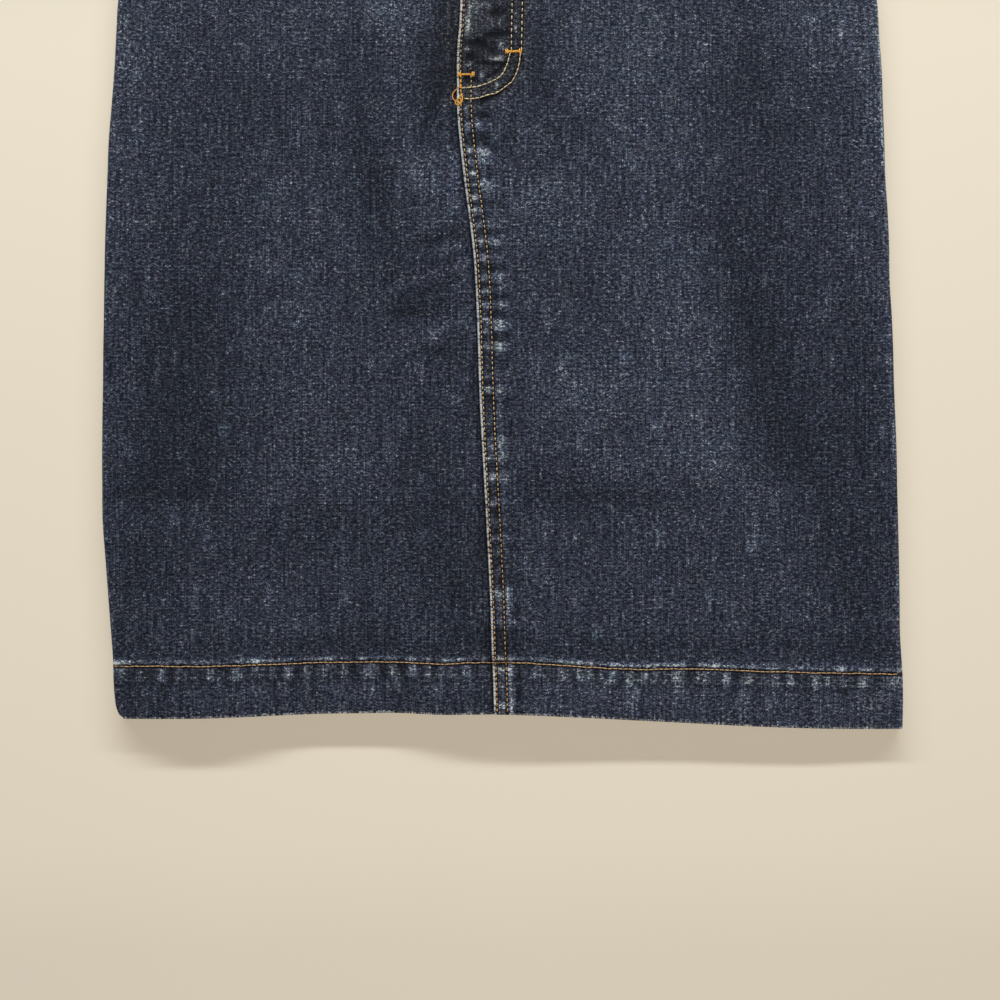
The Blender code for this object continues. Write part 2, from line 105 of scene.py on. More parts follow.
# the side edges, and how far round the right one rolls to the front, in degrees
sides = readTable(
    "up left right rightRoll",
    (0, -233.6, 248.5, 0), (7, -235.6, 248.5, 0), (8.7, -237.8, 248.6, 0), (11, -239, 248.7, 0),
    (14, -240, 248.7, 0), (18, -240.6, 248.7, 0), (30, -241.5, 248.6, 0), (40, -241.7, 248, 0),
    (61, -243.2, 246.8, 0), (80, -244.7, 246.7, 0), (105, -246.6, 246.3, 0), (130, -248.4, 245.7, 0),
    (150, -248.6, 245.2, 0), (170, -248.7, 244.9, 0), (192, -248.5, 244.1, 0), (213, -248.2, 243.2, 0),
    (235, -248, 242.7, 0), (257, -247.6, 241.8, 0), (278, -247.3, 240.5, 0), (300, -246.9, 240.2, 3),
    (322, -246.2, 239.2, 12), (343, -245.4, 237.8, 30), (365, -244.6, 237.2, 52), (387, -242.8, 236.3, 54),
    (409, -241.1, 235.6, 42), (430, -240, 234, 26), (452, -238.7, 232.6, 10), (476, -234.8, 227.6, 0),
    (500, -227.3, 219.2, 0), (525, -214.7, 206.4, 0), (552, -199, 191, 0), (592, -194, 186, 0),
)
hemRow, waistRow = 0, -2  # rows of the table above

# the folded edge of the left front, as a smooth line from hem to waist
foldedEdge = readTable(
    "up across",
    (0, -5.2), (74, -7.1), (136, -10.2), (198, -13.6), (260, -15.8), (291, -17.4), (322, -20.8),
    (353, -24.5), (384, -27.6), (415, -27.8), (460, -27.2), (552, -27),
)

# how far the seam's folded edge strays from that line
foldWaver = readTable(
    "up aside",
    (0, 0.6), (30, 0.6), (44, 0.25), (80, 0.2), (130, 0.25), (179, 0.3), (226, 0.25), (270, 0.3),
    (300, 0.15), (318, 0), (335, -0.25), (353, -0.25), (366, -0.2), (384, 0), (399, 0.2), (412, 0),
    (421, 0.2), (427, 0.5), (433, 1.1), (442, 1.5), (470, 1.6), (552, 0.6),
)

# the hem's edge: how far up it lies, how high it stands, and how far over it its row of stitches runs
hem = readTable(
    "across up height stitching",
    (-240, 6.2, 9.2, 32.8), (-220, 6.4, 10.9, 32.5), (-205, 6.6, 9.1, 32.3), (-188, 6.8, 8.6, 32),
    (-163, 7.5, 7.9, 31.9), (-138, 8.5, 6.3, 31.8), (-113, 9.4, 5.7, 31.9), (-88, 9.8, 5.9, 31.8),
    (-64, 10, 6, 31.6), (-39, 9, 7.1, 31.3), (-14, 9.3, 8.6, 31.9), (11, 9, 8.5, 32.1), (36, 7.9, 8, 31.7),
    (60, 6.7, 7.5, 31.3), (85, 5.4, 7.1, 31.6), (110, 4.1, 6.8, 33.3), (160, 1.5, 6.5, 34.3),
    (209, 0.1, 6.1, 34.5), (248, 0, 4.9, 34.1),
)

# the large folds and dips of the front, each along a line
folds = readTable(
    "fromAcross fromUp toAcross toUp halfWidth height",
    (-160, 440, -192, 260, 26, -0.9), (-195, 240, -214, 150, 26, -1.3), (-150, 350, -100, 150, 32, 0.9),
    (-82, 410, -72, 280, 14, -0.9), (-85, 262, -38, 260, 11, -0.7), (-40, 225, -42, 80, 17, -0.8),
    (-62, 365, -36, 325, 18, 0.9), (-48, 440, -50, 400, 13, -0.7), (-130, 125, -60, 122, 14, -0.6),
    (95, 340, 128, 160, 30, 1.1), (128, 160, 170, 95, 24, 0.9), (30, 215, 70, 200, 22, 0.8),
    (20, 148, 120, 140, 14, -0.7), (150, 450, 158, 370, 24, -0.8), (142, 300, 184, 165, 20, -1.2),
    (184, 165, 222, 70, 20, -0.9), (208, 420, 214, 250, 18, 0.5), (-60, 281, -22, 297, 3.2, 0.4),
    (-48, 310, -26, 324, 3.2, 0.35), (-66, 276, -38, 284, 4, -0.25), (2, 500, 4, 90, 22, 0.5),
)


def along(rows, key, name, at):
    # a column of a table, read along a smooth curve through its rows
    places, values = rows[key], rows[name]
    slopes = np.gradient(values, places)
    at = np.clip(at, places[0], places[-1])
    i = np.clip(np.searchsorted(places, at) - 1, 0, len(places) - 2)
    step = places[i + 1] - places[i]
    t = (at - places[i]) / step
    rise = values[i + 1] - values[i]
    bendIn = step * slopes[i] - rise
    bendOut = rise - step * slopes[i + 1]
    return values[i] + t * rise + t * (1 - t) * ((1 - t) * bendIn + t * bendOut)


def eased(value, start, end):
    t = np.clip((value - start) / (end - start), 0, 1)
    return t * t * (3 - 2 * t)


def window(value, rise, fall):
    # 1 between two soft ends, and 0 outside them
    return eased(value, *rise) * (1 - eased(value, *fall))


def hump(value, middle, halfWidth):
    return np.exp(-(((value - middle) / halfWidth) ** 2))


def zeros(*grids):
    return np.zeros(np.broadcast(*grids).shape)


def hemEdge(across):
    return along(hem, "across", "up", across)


def sideShare(across, row):
    edge = np.where(across > 0, sides["right"][row], sides["left"][row])
    return np.minimum(across / edge, 1)


def frontWaist(across):
    return skirt["frontLength"] + skirt["waistRiseAtSide"] * sideShare(across, waistRow) ** 2


def backHemEdge(across):
    meets = eased(sideShare(across, hemRow), *skirt["backHemMeets"])
    return hemEdge(across) + skirt["backHemShorter"] * (1 - meets)


def backWaist(across):
    drop = skirt["waistRiseAtBack"] - skirt["waistRiseAtSide"]
    return skirt["frontLength"] + skirt["waistRiseAtBack"] - drop * sideShare(across, waistRow) ** 2


def upAt(row, across, hemLine, waistLine):
    # a fixed way over the hem, and above it a share of the way to the waist
    top = skirt["frontLength"] - skirt["gap"]
    share = np.clip((row - skirt["hemTop"]) / (top - skirt["hemTop"]), 0, 1)
    low = hemLine(across) + np.minimum(row, skirt["hemTop"])
    return low + share * (waistLine(across) - skirt["gap"] - low)


def sideEdge(side, up):
    return along(sides, "up", side, up)


def frontEdge(up):
    return along(foldedEdge, "up", "across", up)


def foldEdge(up):
    return frontEdge(up) + along(foldWaver, "up", "aside", up)


def backSeam(up):
    share = up / skirt["frontLength"]
    return skirt["backSeamAtHem"] + (skirt["backSeamAtWaist"] - skirt["backSeamAtHem"]) * share


def insideFly(offset, up):
    # how far inside the J of the fly a place lies, measured across
    halfWidth = skirt["flyWidth"] - skirt["flyCornerAcross"]
    over = np.maximum(offset - skirt["flyCornerAcross"], 0) / halfWidth
    down = np.maximum(skirt["flyCornerUp"] - up, 0) / skirt["flyCornerRadiusUp"]
    return halfWidth * (1 - np.hypot(over, down))


def underlapWidth(up):
    halfWidth = skirt["flyWidth"] - skirt["flyCornerAcross"] - skirt["underlapInset"]
    reach = skirt["flyCornerRadiusUp"] - skirt["underlapInset"]
    down = np.clip((skirt["flyCornerUp"] - up) / reach, 0, 1)
    return skirt["underlapWidth"] + halfWidth * np.sqrt(1 - down**2)


def lapped(offset, up, inset):
    # 1 where the left front lies doubled over the right one, and 0 past the seam and the fly
    seam = eased(skirt["lapWidth"] - offset - inset, 0, skirt["lapRamp"])
    return np.maximum(seam, eased(insideFly(offset, up) - inset, *skirt["flyRamp"]))


def wallAt(row):
    thinner = eased(row, skirt["hemDepth"], skirt["hemTop"])
    return skirt["turnedHem"] + (skirt["cloth"] - skirt["turnedHem"]) * thinner


def foldRadius(row):
    hemShare = 1 - eased(row, skirt["hemDepth"], skirt["hemReach"])
    return (skirt["sideFold"] + (skirt["hemFold"] - skirt["sideFold"]) * hemShare) / 2


def foldHeight(across, up):
    height = zeros(across, up)
    for x1, y1, x2, y2, halfWidth, rise in zip(*folds.values()):
        length = math.hypot(x2 - x1, y2 - y1)
        wayX, wayY = (x2 - x1) / length, (y2 - y1) / length
        onLine = np.clip((across - x1) * wayX + (up - y1) * wayY, 0, length)
        offLine = np.hypot(across - x1 - onLine * wayX, up - y1 - onLine * wayY)
        height += rise * hump(offLine, 0, halfWidth)
    return height


def frontHeight(across, up, row):
    # the height of the plain front, without the lap of its seam
    fromHem = up - hemEdge(across)
    nearWaist = 1 - eased(frontWaist(across) - up, 0, skirt["waistReach"])
    calm = eased(fromHem, skirt["hemDepth"], skirt["hemDepth"] + skirt["foldFade"]) * (1 - nearWaist)
    body = skirt["frontHeight"] + calm * foldHeight(across, up)
    body += (skirt["waistHeight"] - skirt["frontHeight"]) * nearWaist
    nearHem = 1 - eased(fromHem, skirt["hemTop"], skirt["hemReach"])
    body += (skirt["hemShelf"] - skirt["frontHeight"]) * nearHem
    lift = along(hem, "across", "height", across) - skirt["hemShelf"]
    body += lift * (1 - eased(fromHem, 0, skirt["hemDepth"]))
    offset = across - frontEdge(up)
    pressed = window(offset, *skirt["hemPressAcross"]) * (1 - eased(fromHem, *skirt["hemPressUp"]))
    body -= skirt["hemPress"] * pressed
    overFly = eased(insideFly(offset, up), *skirt["flyPressInside"]) * eased(offset, *skirt["flyPressAcross"])
    body -= skirt["flyPress"] * overFly * (1 - nearWaist)
    toSide = np.minimum(across - sideEdge("left", up), sideEdge("right", up) - across)
    nearSide = 1 - eased(toSide - foldRadius(row), 0, skirt["sideReach"])
    return body + (2 * foldRadius(row) - body) * nearSide


# rows of stitches, and the relief that they draw up
sewing = {
    "edgeRow": (1.55, 1.9),  # from the folded edge: low on the seam, and high on it
    "edgeRowTurns": (180, 260),
    "twinNeedle": 6.35,
    "seamRowTop": 406.0,  # where the second row starts, at its bar tack
    "flyRow": 39.6,
    "flyRowInset": 1.4,  # how far inside the fly's corner its outer row turns
    "flyRowTurns": (400, 425),
    "flyRowSlant": 0.6,  # a way across counts this much low on the corner, where the row runs level
    "flyRowStarts": (2, 5),
    "flyRowBottom": 380,
    "groove": 0.28,  # how deep a row of stitches sinks into the cloth
    "flyGroove": 0.1,
    "grooveHalfWidth": 0.85,
    "seamRidge": 0.5,
    "deepestSeamDip": -0.5,
    "hemRidge": 0.4,
    "hemRoll": (0.2, 2.6, 1.5),  # the swelling over the hem's row: its height, place and half width
    "edgeRound": (0.5, 0.9),  # how far the folded edge rounds down, and its half width
    "ripple": (0.1, 3),  # its height, and what the sum of its waves is divided by
    "rippleStarts": (0, 30),
    "flyRelief": 1.05,
}

# what tone the wear, and the painted light and shade noted below, give the cloth, 0 to 1 along its colours
denimTone = {
    "washAndCreaseShading": 1.08,
    "creaseLimit": 0.36,
    "seamCrease": 0.92,
    # the hem's ridges: worn pale, with painted light on them and painted shade in the dips beside them
    "hemRidgeWearAndShading": 0.43,
    # painted shade in the grooves that rows of stitches sink into the cloth
    "sewn": 0.38,
    "sewnHalfWidth": 1.1,
    "sewnStain": 0.5,
    "fold": 0.03,
    "fly": 1.6,
    "flyStain": 0.58,
    "flyStainInside": (-9, 3),
    "flyStainAcross": (-16, -4),
    "seamStain": (2, 8),  # place from the folded edge, and half width
    "seamLine": 1.3,  # half width of the pale line along the edge of the cloth inside the seam
    # painted shade past the step where the seam's lap ends, low in the hem: its place from the folded edge,
    # and half width
    "seamShade": (14.3, 2.6),
    "besideSeam": (-4, 4.5),
    "sideRub": (-1.8, 0.7),  # where it starts, from the end of the flat cloth to the side
}

# ridges across the centre seam: how strong each is between the rows and beyond them, and its lean
seamRidges = readTable(
    "up between beyond lean",
    (373, 0.45, 0.35, 0.1), (358, 0.95, 0.85, 0), (351, 0.7, 0.6, 0.1), (337, 0.35, 0.8, 0),
    (344, 0.9, 0, -0.1), (329, 1.1, 0.4, 0.1), (321, 0.85, 0.4, 0), (312, 0.55, 0.6, 0.1),
    (302, 0.8, 0.6, 0), (292, 0.55, 0.4, -0.1), (279, 0.8, 0.95, 0.1), (271, 0.95, 0.75, 0.2),
    (263, 0.6, 0.75, 0), (253, 0.9, 0.9, -0.1), (247, 0.65, 0.6, 0.1), (237, 0.65, 0.75, 0),
    (218, 0.4, 0.3, 0.1), (210, 1.1, 0.45, 0), (190, 0.15, 0, 0.1), (179, 0.5, 0.35, -0.1),
    (174, 0.85, 0.15, 0), (168, 0.6, 0.3, 0.1), (156, 0.9, 0.2, 0), (140, 0.65, 0.15, 0.1),
    (128, 0.3, 0.25, 0), (118, 0.5, 0.35, 0.1), (110, 0.5, 0.1, -0.1), (98, 0.25, 0.1, 0),
    (84, 0.7, 0.2, 0.1), (66, 0.55, 0.25, 0), (44, 0.6, 0.4, 0), (37, 0.3, 0.3, 0.1), (15, 0.7, 0.3, 0),
)

# those two kinds of ridge: where they start and end, from the seam's first row, their height and half width,
# and the share and half width of the dips beside them
seamRidgeForms = {
    "between": (((-0.6, 1.4), (5.775, 7.375)), 1.25, 2.5, 0.45, 6.0),
    "beyond": (((5.775, 7.575), (11.675, 19.675)), 1.2, 3.8, 0.5, 8.0),
}

# how the centre seam is worn up its length: pale between its rows, beyond them, further out, and beside the
# fold; line is the pale edge of the cloth inside it and lineAt its place, shade a painted shade past that in
# the hem, where the seam's lap steps down, and stain how brown it has gone
seamWear = readTable(
    "up between beyond outer beside line lineAt shade stain",
    (0, 0.09, 0.05, -0.02, 0, 0.33, 10.3, 0.2, 0.25), (20, 0.1, 0.08, -0.04, 0, 0.33, 10.3, 0.2, 0.3),
    (33, 0.2, 0.18, -0.04, 0, 0.33, 10.3, 0.2, 0.5), (38, 0.24, 0.22, -0.03, 0, 0.2, 10.3, 0.1, 0.5),
    (44, 0.1, 0.08, -0.03, 0, 0.12, 10.3, 0.04, 0.45), (52, -0.02, 0, -0.02, -0.03, 0.1, 10.4, 0.02, 0.35),
    (60, -0.1, -0.05, -0.02, -0.05, 0.1, 10.4, 0.02, 0.2),
    (68, 0.04, 0.08, -0.02, 0, 0.12, 10.4, 0.02, 0.1), (77, 0.17, 0.2, -0.04, 0.02, 0.12, 10.5, 0.02, 0.1),
    (86, 0.1, 0.12, -0.05, 0, 0.1, 10.6, 0, 0.2), (95, -0.03, -0.06, -0.06, -0.07, 0.03, 10.8, 0, 0.4),
    (112, 0.01, 0.04, -0.03, -0.08, 0.03, 11, 0, 0.35), (130, 0, 0.06, -0.02, -0.04, 0.03, 11, 0, 0.25),
    (155, 0.14, 0.12, 0.05, 0.03, 0.04, 11.2, 0, 0.1), (179, 0.07, 0.13, 0, 0, 0.07, 11.5, 0, 0.15),
    (203, 0.03, 0.08, -0.01, -0.02, 0.08, 11.8, 0, 0.15), (226, 0.02, 0.06, -0.04, 0, 0.1, 12.8, 0, 0.25),
    (248, 0.13, 0.06, 0.06, 0.07, 0.12, 13.2, 0, 0.1), (269, 0.03, -0.03, 0.08, 0.04, 0.08, 14.4, 0, 0.15),
    (289, 0.07, 0.06, 0.06, 0.06, 0.06, 15, 0, 0.1), (309, 0.12, 0.05, 0.09, 0.06, 0.03, 15, 0, 0.1),
    (327, 0.12, 0.09, 0.01, 0.06, 0.02, 15, 0, 0.1), (345, 0.19, 0.25, 0.06, 0.08, 0, 15, 0, 0),
    (360, 0.06, 0.06, 0.01, 0.02, 0, 15, 0, 0), (375, 0.07, 0.06, -0.03, 0, 0, 15, 0, 0.05),
    (396, 0, 0, 0, 0, 0, 15, 0, 0),
)

# where three of those columns start and end, from the seam's first row
seamBands = {
    "between": ((0.3, 1.5), (5.15, 6.15)),
    "beyond": ((6.85, 7.95), (10.35, 13.85)),
    "outer": ((9.85, 12.35), (15.35, 19.35)),
}

# ridges up the hem, under its stitches: how strong each is, and how far down it runs
hemRidges = readTable(
    "across strength halfWidth reach lean",
    (-235, 0.8, 2.4, 8.4, 0), (-224, 0.85, 2, 8, 0.1), (-211, 1.7, 2.8, 10, 0), (-200, 0.7, 3.4, 8.4, 0.1),
    (-180, 1.2, 2.8, 9.6, 0.1), (-164, 1.1, 4, 9.2, 0), (-153, 0.4, 2.2, 8.4, 0.1),
    (-142, 1.1, 2.6, 8.8, 0.1), (-132, 1.35, 3.6, 10, 0.1), (-122, 0.8, 2.8, 9.2, 0),
    (-111, 0.45, 2.4, 8, 0.1), (-98, 0.6, 2.4, 9.6, 0.1), (-82, 0.75, 5.2, 9.6, 0),
    (-78, 0.25, 2.4, 8.8, 0), (-68, 1.35, 2.8, 10.4, -0.1), (-55, 1.1, 3.6, 9.2, 0.1),
    (-46, 0.85, 2.2, 8.8, 0.1), (-38, 0.85, 2.2, 8.8, 0.1), (-32, 0.8, 2.4, 8.4, 0.1),
    (-23, 1.1, 3, 9.6, -0.1), (21, 0.85, 2.8, 8.4, 0.1), (38, 0.45, 3, 9.6, 0), (47, 1.5, 2.4, 8.4, 0),
    (53, 0.95, 2.4, 8.8, 0.1), (61, 0.45, 2.2, 8.4, 0), (69, 0.95, 2.6, 9.2, 0.1), (78, 1.3, 2.6, 9.6, 0),
    (88, 1, 3.4, 8.4, 0.1), (95, 0.8, 2.2, 8.4, 0.1), (108, 1.1, 3.2, 10, 0.1), (121, 1.05, 2.2, 8, 0),
    (127, 0.95, 2.4, 9.2, 0.1), (139, 1.1, 3, 10, 0), (152, 1, 3.4, 8.8, 0.1), (169, 0.4, 3, 9.6, 0.1),
    (178, 1.25, 2.6, 8.4, 0), (194, 1.1, 3.4, 10.4, 0), (202, 1.1, 2.4, 8.8, 0.1), (211, 0.4, 2.4, 8.4, 0),
    (224, 0.85, 3.4, 9.6, 0.1), (243, 0.55, 3.2, 10, 0),
)

hemRidgeForm = {
    "dip": 0.4,  # the dips beside a ridge, as a share of its height
    "dipWidth": 2.4,
    "starts": (0.3, 2.0),
    "ends": (0.8, 1.2),  # shares of its reach
    "over": 0.3,  # what is left of a ridge over the stitches
    "overEnds": ((0.3, 1.5), (2.4, 4.8)),
    "bumpUnder": 0.35,
    "bumpPlace": (2.5, 2.5),
}

# how the hem is worn: tones at its left end and its right one, and places from its stitches
hemWear = {
    "toRight": (-240, 160),
    "over": (0.172, 2.4, 1.2),
    "overStarts": (-246, -226),
    "under": (-0.03, 0.04),
    "underEnds": ((1.0, 2.5), (7.6, 9.4)),
    "inside": (0.1, 7.4, 1.3),
    "dip": (-0.1, -0.05),
    "dipPlace": (10.6, 2.4),
    "low": (-0.018, 0.012),
    "lowStarts": (8, 13),
    "streakLean": 0.06,
    "streakWidth": 1.5,
    "streakReach": (13, 110, 6),  # the shortest, how much longer strong ones are, and how softly they end
    "stain": 0.24,
    "stainStarts": (0.2, 1.2),
    "stainFades": (5, 12),
    "stainLost": 0.75,
}

# how pale each front is rubbed along its side seam
sideRubs = readTable(
    "up right left",
    (0, 0.12, 0.09), (33, 0.15, 0.05), (55, 0.12, 0.07), (72, 0.14, 0.06), (90, 0.18, 0.07),
    (106, 0.12, 0.06), (125, 0.06, 0.05), (142, 0.06, 0.05), (158, 0.13, 0.06), (175, 0.18, 0.07),
    (190, 0.13, 0.05), (205, 0.06, 0.03), (235, 0.05, 0.03), (262, 0.04, 0.03), (280, 0.11, 0.03),
    (298, 0.14, 0.03), (320, 0.09, 0.05), (345, 0.08, 0.05), (360, 0.16, 0.03), (374, 0.22, 0.03),
    (388, 0.16, 0.02), (398, 0.06, 0.03), (412, 0.13, 0.04), (425, 0.09, 0.05), (445, 0.18, 0.05),
    (500, 0.1, 0.05), (552, 0.1, 0.05),
)

# soft patches where the cloth is paler or darker: washed and faded places, and along small creases beside the
# seam and round the fly, painted light on their ridges and painted shade between them
washesAndCreaseShading = readTable(
    "across up reachAcross reachUp lean shade",
    (-240, 420, 26, 110, 0, 0.075), (-150, 445, 60, 40, 0, 0.055), (-72, 446, 20, 20, 0, 0.12),
    (-48, 450, 6, 14, 0, 0.13), (-91, 432, 6, 22, 0, -0.07), (-42, 400, 9, 55, 0, -0.11),
    (-49, 343, 19, 19, 0.3, 0.1), (-32, 359, 1.4, 9, -0.5, 0.1), (-80, 340, 11, 38, -0.2, -0.075),
    (-39, 316, 3.5, 8, 1.6, 0.11), (-38, 305, 10, 5, 2.4, -0.15), (-33, 298, 5, 4.5, 2, 0.11),
    (-40, 291, 8, 6, 2.7, -0.075), (-46, 282, 6, 9, 2.7, 0.14), (-42, 275, 9, 8, 2.7, -0.08),
    (-63, 259, 14, 4.5, 0.6, -0.14), (-40, 247, 8, 9, 1.8, 0.1), (-38, 235, 13, 6, 2.5, -0.09),
    (-45, 262, 20, 26, 0, -0.01), (-150, 390, 14, 14, 0, -0.03), (-146, 338, 12, 10, 0, 0.03),
    (-195, 200, 34, 60, -0.1, -0.07), (-208, 150, 32, 12, -0.1, -0.08), (-92, 166, 20, 14, 0, 0.02),
    (-48, 130, 24, 60, 0, -0.04), (-56, 117, 12, 12, 0, 0.05), (-115, 118, 60, 20, 0, -0.045),
    (-225, 90, 25, 35, 0, -0.08), (-26, 85, 12, 26, 0, -0.09), (-90, 60, 18, 10, 0, -0.06),
    (-42, 390, 3.2, 24, 0.4, -0.1), (-37, 384, 2, 14, 0.5, 0.06), (22, 415, 12, 30, 0, -0.075),
    (36, 387, 4, 22, -0.85, -0.08), (26, 378, 3, 14, -0.6, -0.06), (75, 420, 50, 60, 0, 0.08),
    (25, 325, 28, 20, -0.2, 0.085), (2, 365, 7, 7, 0, -0.05), (100, 240, 34, 110, -0.1, 0.04),
    (140, 290, 18, 60, -0.2, -0.01), (167, 228, 20, 85, -0.2, -0.045), (156, 228, 12, 60, -0.2, -0.035),
    (45, 206, 24, 26, 0, 0.065), (9, 185, 5, 16, 0, -0.07), (74, 164, 20, 12, 0.4, 0.07),
    (50, 143, 62, 10, 0, -0.07), (222, 190, 22, 90, -0.1, -0.055), (205, 110, 18, 60, -0.3, -0.015),
    (220, 75, 18, 30, 0, -0.04), (153, 400, 16, 46, 0, -0.05), (185, 440, 45, 30, 0, 0.06),
    (208, 440, 24, 22, 0, 0.05), (230, 400, 10, 60, 0, 0.075), (240, 225, 8, 60, 0, 0.055),
    (-60, 51, 190, 8, 0, -0.065), (120, 51, 40, 8, 0, -0.035), (215, 51, 50, 8, 0, -0.05),
    (-222, 18, 45, 16, 0, -0.055), (-40, 16, 25, 14, 0, -0.04), (-13, 22, 6, 11, 0, -0.1),
    (-51, 322, 9, 12, 0, -0.045), (-68, 405, 9, 18, 0, 0.035), (-31, 430, 6, 40, 0, -0.045),
    (-97, 182, 14, 12, 0, -0.04), (-142, 138, 14, 10, 0, 0.035), (-85, 75, 34, 9, 0, -0.05),
    (-150, 362, 16, 16, 0, -0.04), (61, 378, 10, 18, 0, -0.04), (97, 330, 8, 20, 0, -0.035),
    (172, 330, 9, 22, 0, -0.05), (150, 365, 12, 16, 0, 0.035), (45, 229, 12, 7, 0, -0.04),
    (97, 151, 8, 7, 0, 0.045), (172, 148, 12, 14, 0, 0.04), (163, 74, 14, 10, 0, -0.045),
    (228, 322, 10, 40, 0, 0.035), (-237, 105, 6, 9, 0, 0.035), (-200, 27, 9, 10, 0, -0.06),
    (-219, 12, 8, 7, 0, 0.05), (205, 12, 24, 6, 0, 0.05), (-20, 58, 14, 8, 0, -0.05),
)

# small worn and dark places on and round the fly
flyMarks = readTable(
    "across up reachAcross reachUp shade",
    (-20, 447, 5, 6, 0.11), (-22, 435.5, 2.4, 5.5, 0.29), (-21.4, 441.5, 3, 4, 0.05),
    (-13.3, 449, 4, 3, 0.08), (-7.1, 437.7, 5, 3, 0.02), (-1.2, 423.5, 1.6, 2.6, 0.26),
    (-4, 414.8, 5, 1.6, 0.3), (-1, 414.8, 1.4, 2, 0.16), (-20.5, 411.7, 2.4, 1.6, 0.24),
    (-22, 420.7, 1.6, 2, 0.24), (-12.7, 403.6, 2.2, 2.2, 0.36), (-3.4, 398.7, 1.4, 2.6, 0.26),
    (-7.8, 402.4, 1.2, 2.4, 0.22), (-22.4, 383.8, 1.6, 3.5, 0.14), (12, 391.8, 1.2, 4, -0.04),
    (2.8, 385.6, 3, 2, -0.04), (8.4, 434, 1.2, 1.6, 0.3), (7.8, 442.7, 1.2, 1.4, 0.16),
    (-3.4, 444.5, 5, 3, -0.32), (0.3, 431.5, 4, 2.4, -0.18), (-5.3, 430.3, 5, 2, -0.38),
    (-15.2, 425.3, 5.5, 2, -0.44), (-20.2, 416.6, 3, 2.6, -0.37), (-14, 414.8, 3.5, 3, -0.1),
    (-3.4, 412.4, 6, 1.4, -0.24), (-11.5, 412.4, 4, 1.5, -0.2), (-9.6, 422.2, 6, 3, -0.18),
    (4.6, 414.8, 1.6, 5, -0.12), (1.5, 405.5, 2.5, 3, -0.1), (-11.5, 380, 5, 2, -0.14),
    (4, 447, 3, 20, -0.05), (-24, 500, 4, 40, 0.08), (-8, 425, 14, 28, -0.018), (-16, 446, 4, 3, 0.06),
    (-8, 446, 3, 3, 0.12), (-10, 434, 3, 2.5, 0.09), (6, 425, 3, 5, -0.05), (-18, 408, 3, 2, -0.1),
    (0, 404, 3, 3, 0.1), (-14, 396, 6, 3, 0.05), (-6, 390, 8, 3, 0.05),
)


def edgeRow(up):
    low, high = sewing["edgeRow"]
    return low + (high - low) * eased(up, *sewing["edgeRowTurns"])


def hemStitching(across):
    return along(hem, "across", "stitching", across)


def flyRow(offset, up):
    # signed distance in from the outer row of the fly's J, about true near the row
    halfWidth = sewing["flyRow"] - skirt["flyCornerAcross"]
    over = np.maximum(offset - skirt["flyCornerAcross"], 0) / halfWidth
    down = np.maximum(skirt["flyCornerUp"] - up, 0) / (skirt["flyCornerRadiusUp"] - sewing["flyRowInset"])
    slant = sewing["flyRowSlant"] + (1 - sewing["flyRowSlant"]) * eased(up, *sewing["flyRowTurns"])
    return halfWidth * (1 - np.hypot(over, down)) * slant


def rowGroove(distance):
    return hump(distance, 0, sewing["grooveHalfWidth"])


def seamSewing(offset, up):
    # 0 to 1: how near the rows of the centre seam a place is
    first = rowGroove(offset - edgeRow(up))
    second = rowGroove(offset - edgeRow(up) - sewing["twinNeedle"]) * (up < sewing["seamRowTop"])
    return np.maximum(first, second)


def flySewing(offset, up):
    inside = flyRow(offset, up)
    rows = np.maximum(rowGroove(inside), rowGroove(inside - sewing["twinNeedle"]))
    return rows * eased(offset, *sewing["flyRowStarts"]) * (up > sewing["flyRowBottom"])


def seamCreases(offset, up):
    # ridges (over 0) and dips (under 0) that the two rows of stitches draw across the seam
    fromRow = offset - edgeRow(up)
    creases = zeros(offset, up)
    for kind, (ends, height, halfWidth, dip, dipHalfWidth) in seamRidgeForms.items():
        share = height * window(fromRow, *ends)
        for at, strength, lean in zip(seamRidges["up"], seamRidges[kind], seamRidges["lean"]):
            line = up - at - lean * (fromRow - sewing["twinNeedle"] / 2)
            creases += strength * share * (hump(line, 0, halfWidth) - dip * hump(line, 0, dipHalfWidth))
    return creases


def creaseTone(creases):
    limit = denimTone["creaseLimit"]
    return limit * np.tanh(denimTone["seamCrease"] * creases / limit)


def seamWearAt(name, up):
    return along(seamWear, "up", name, up)


def seamPaleness(offset, up):
    # worn pale between the rows of the centre seam, past them, and along the edge of the cloth inside it,
    # less a painted shade where the seam's lap steps down in the hem
    fromRow = offset - edgeRow(up)
    pale = seamWearAt("line", up) * hump(offset, seamWearAt("lineAt", up), denimTone["seamLine"])
    for name, ends in seamBands.items():
        pale += seamWearAt(name, up) * window(fromRow, *ends)
    # painted shade past the step where the seam's lap ends, low in the hem
    return pale - seamWearAt("shade", up) * hump(offset, *denimTone["seamShade"])


# small uneven bumps and streaks along the hem
hemBump = {
    "span": (-245, 250),
    "halfWidths": (0.8, 2.4),
    "strengths": (0.2, 1.0),
}


def sowBumps(seed, spacing, strength):
    # each as (place, half width, strength)
    rng = np.random.default_rng(seed)
    start, end = hemBump["span"]
    count = int((end - start) / spacing)
    places = np.sort(rng.uniform(start, end, count))
    widths = rng.uniform(*hemBump["halfWidths"], count)
    return np.column_stack([places, widths, strength * rng.uniform(*hemBump["strengths"], count)])


hemBumps = sowBumps(seed=21, spacing=3.4, strength=0.58)
hemStreaks = sowBumps(seed=22, spacing=5.5, strength=0.11)


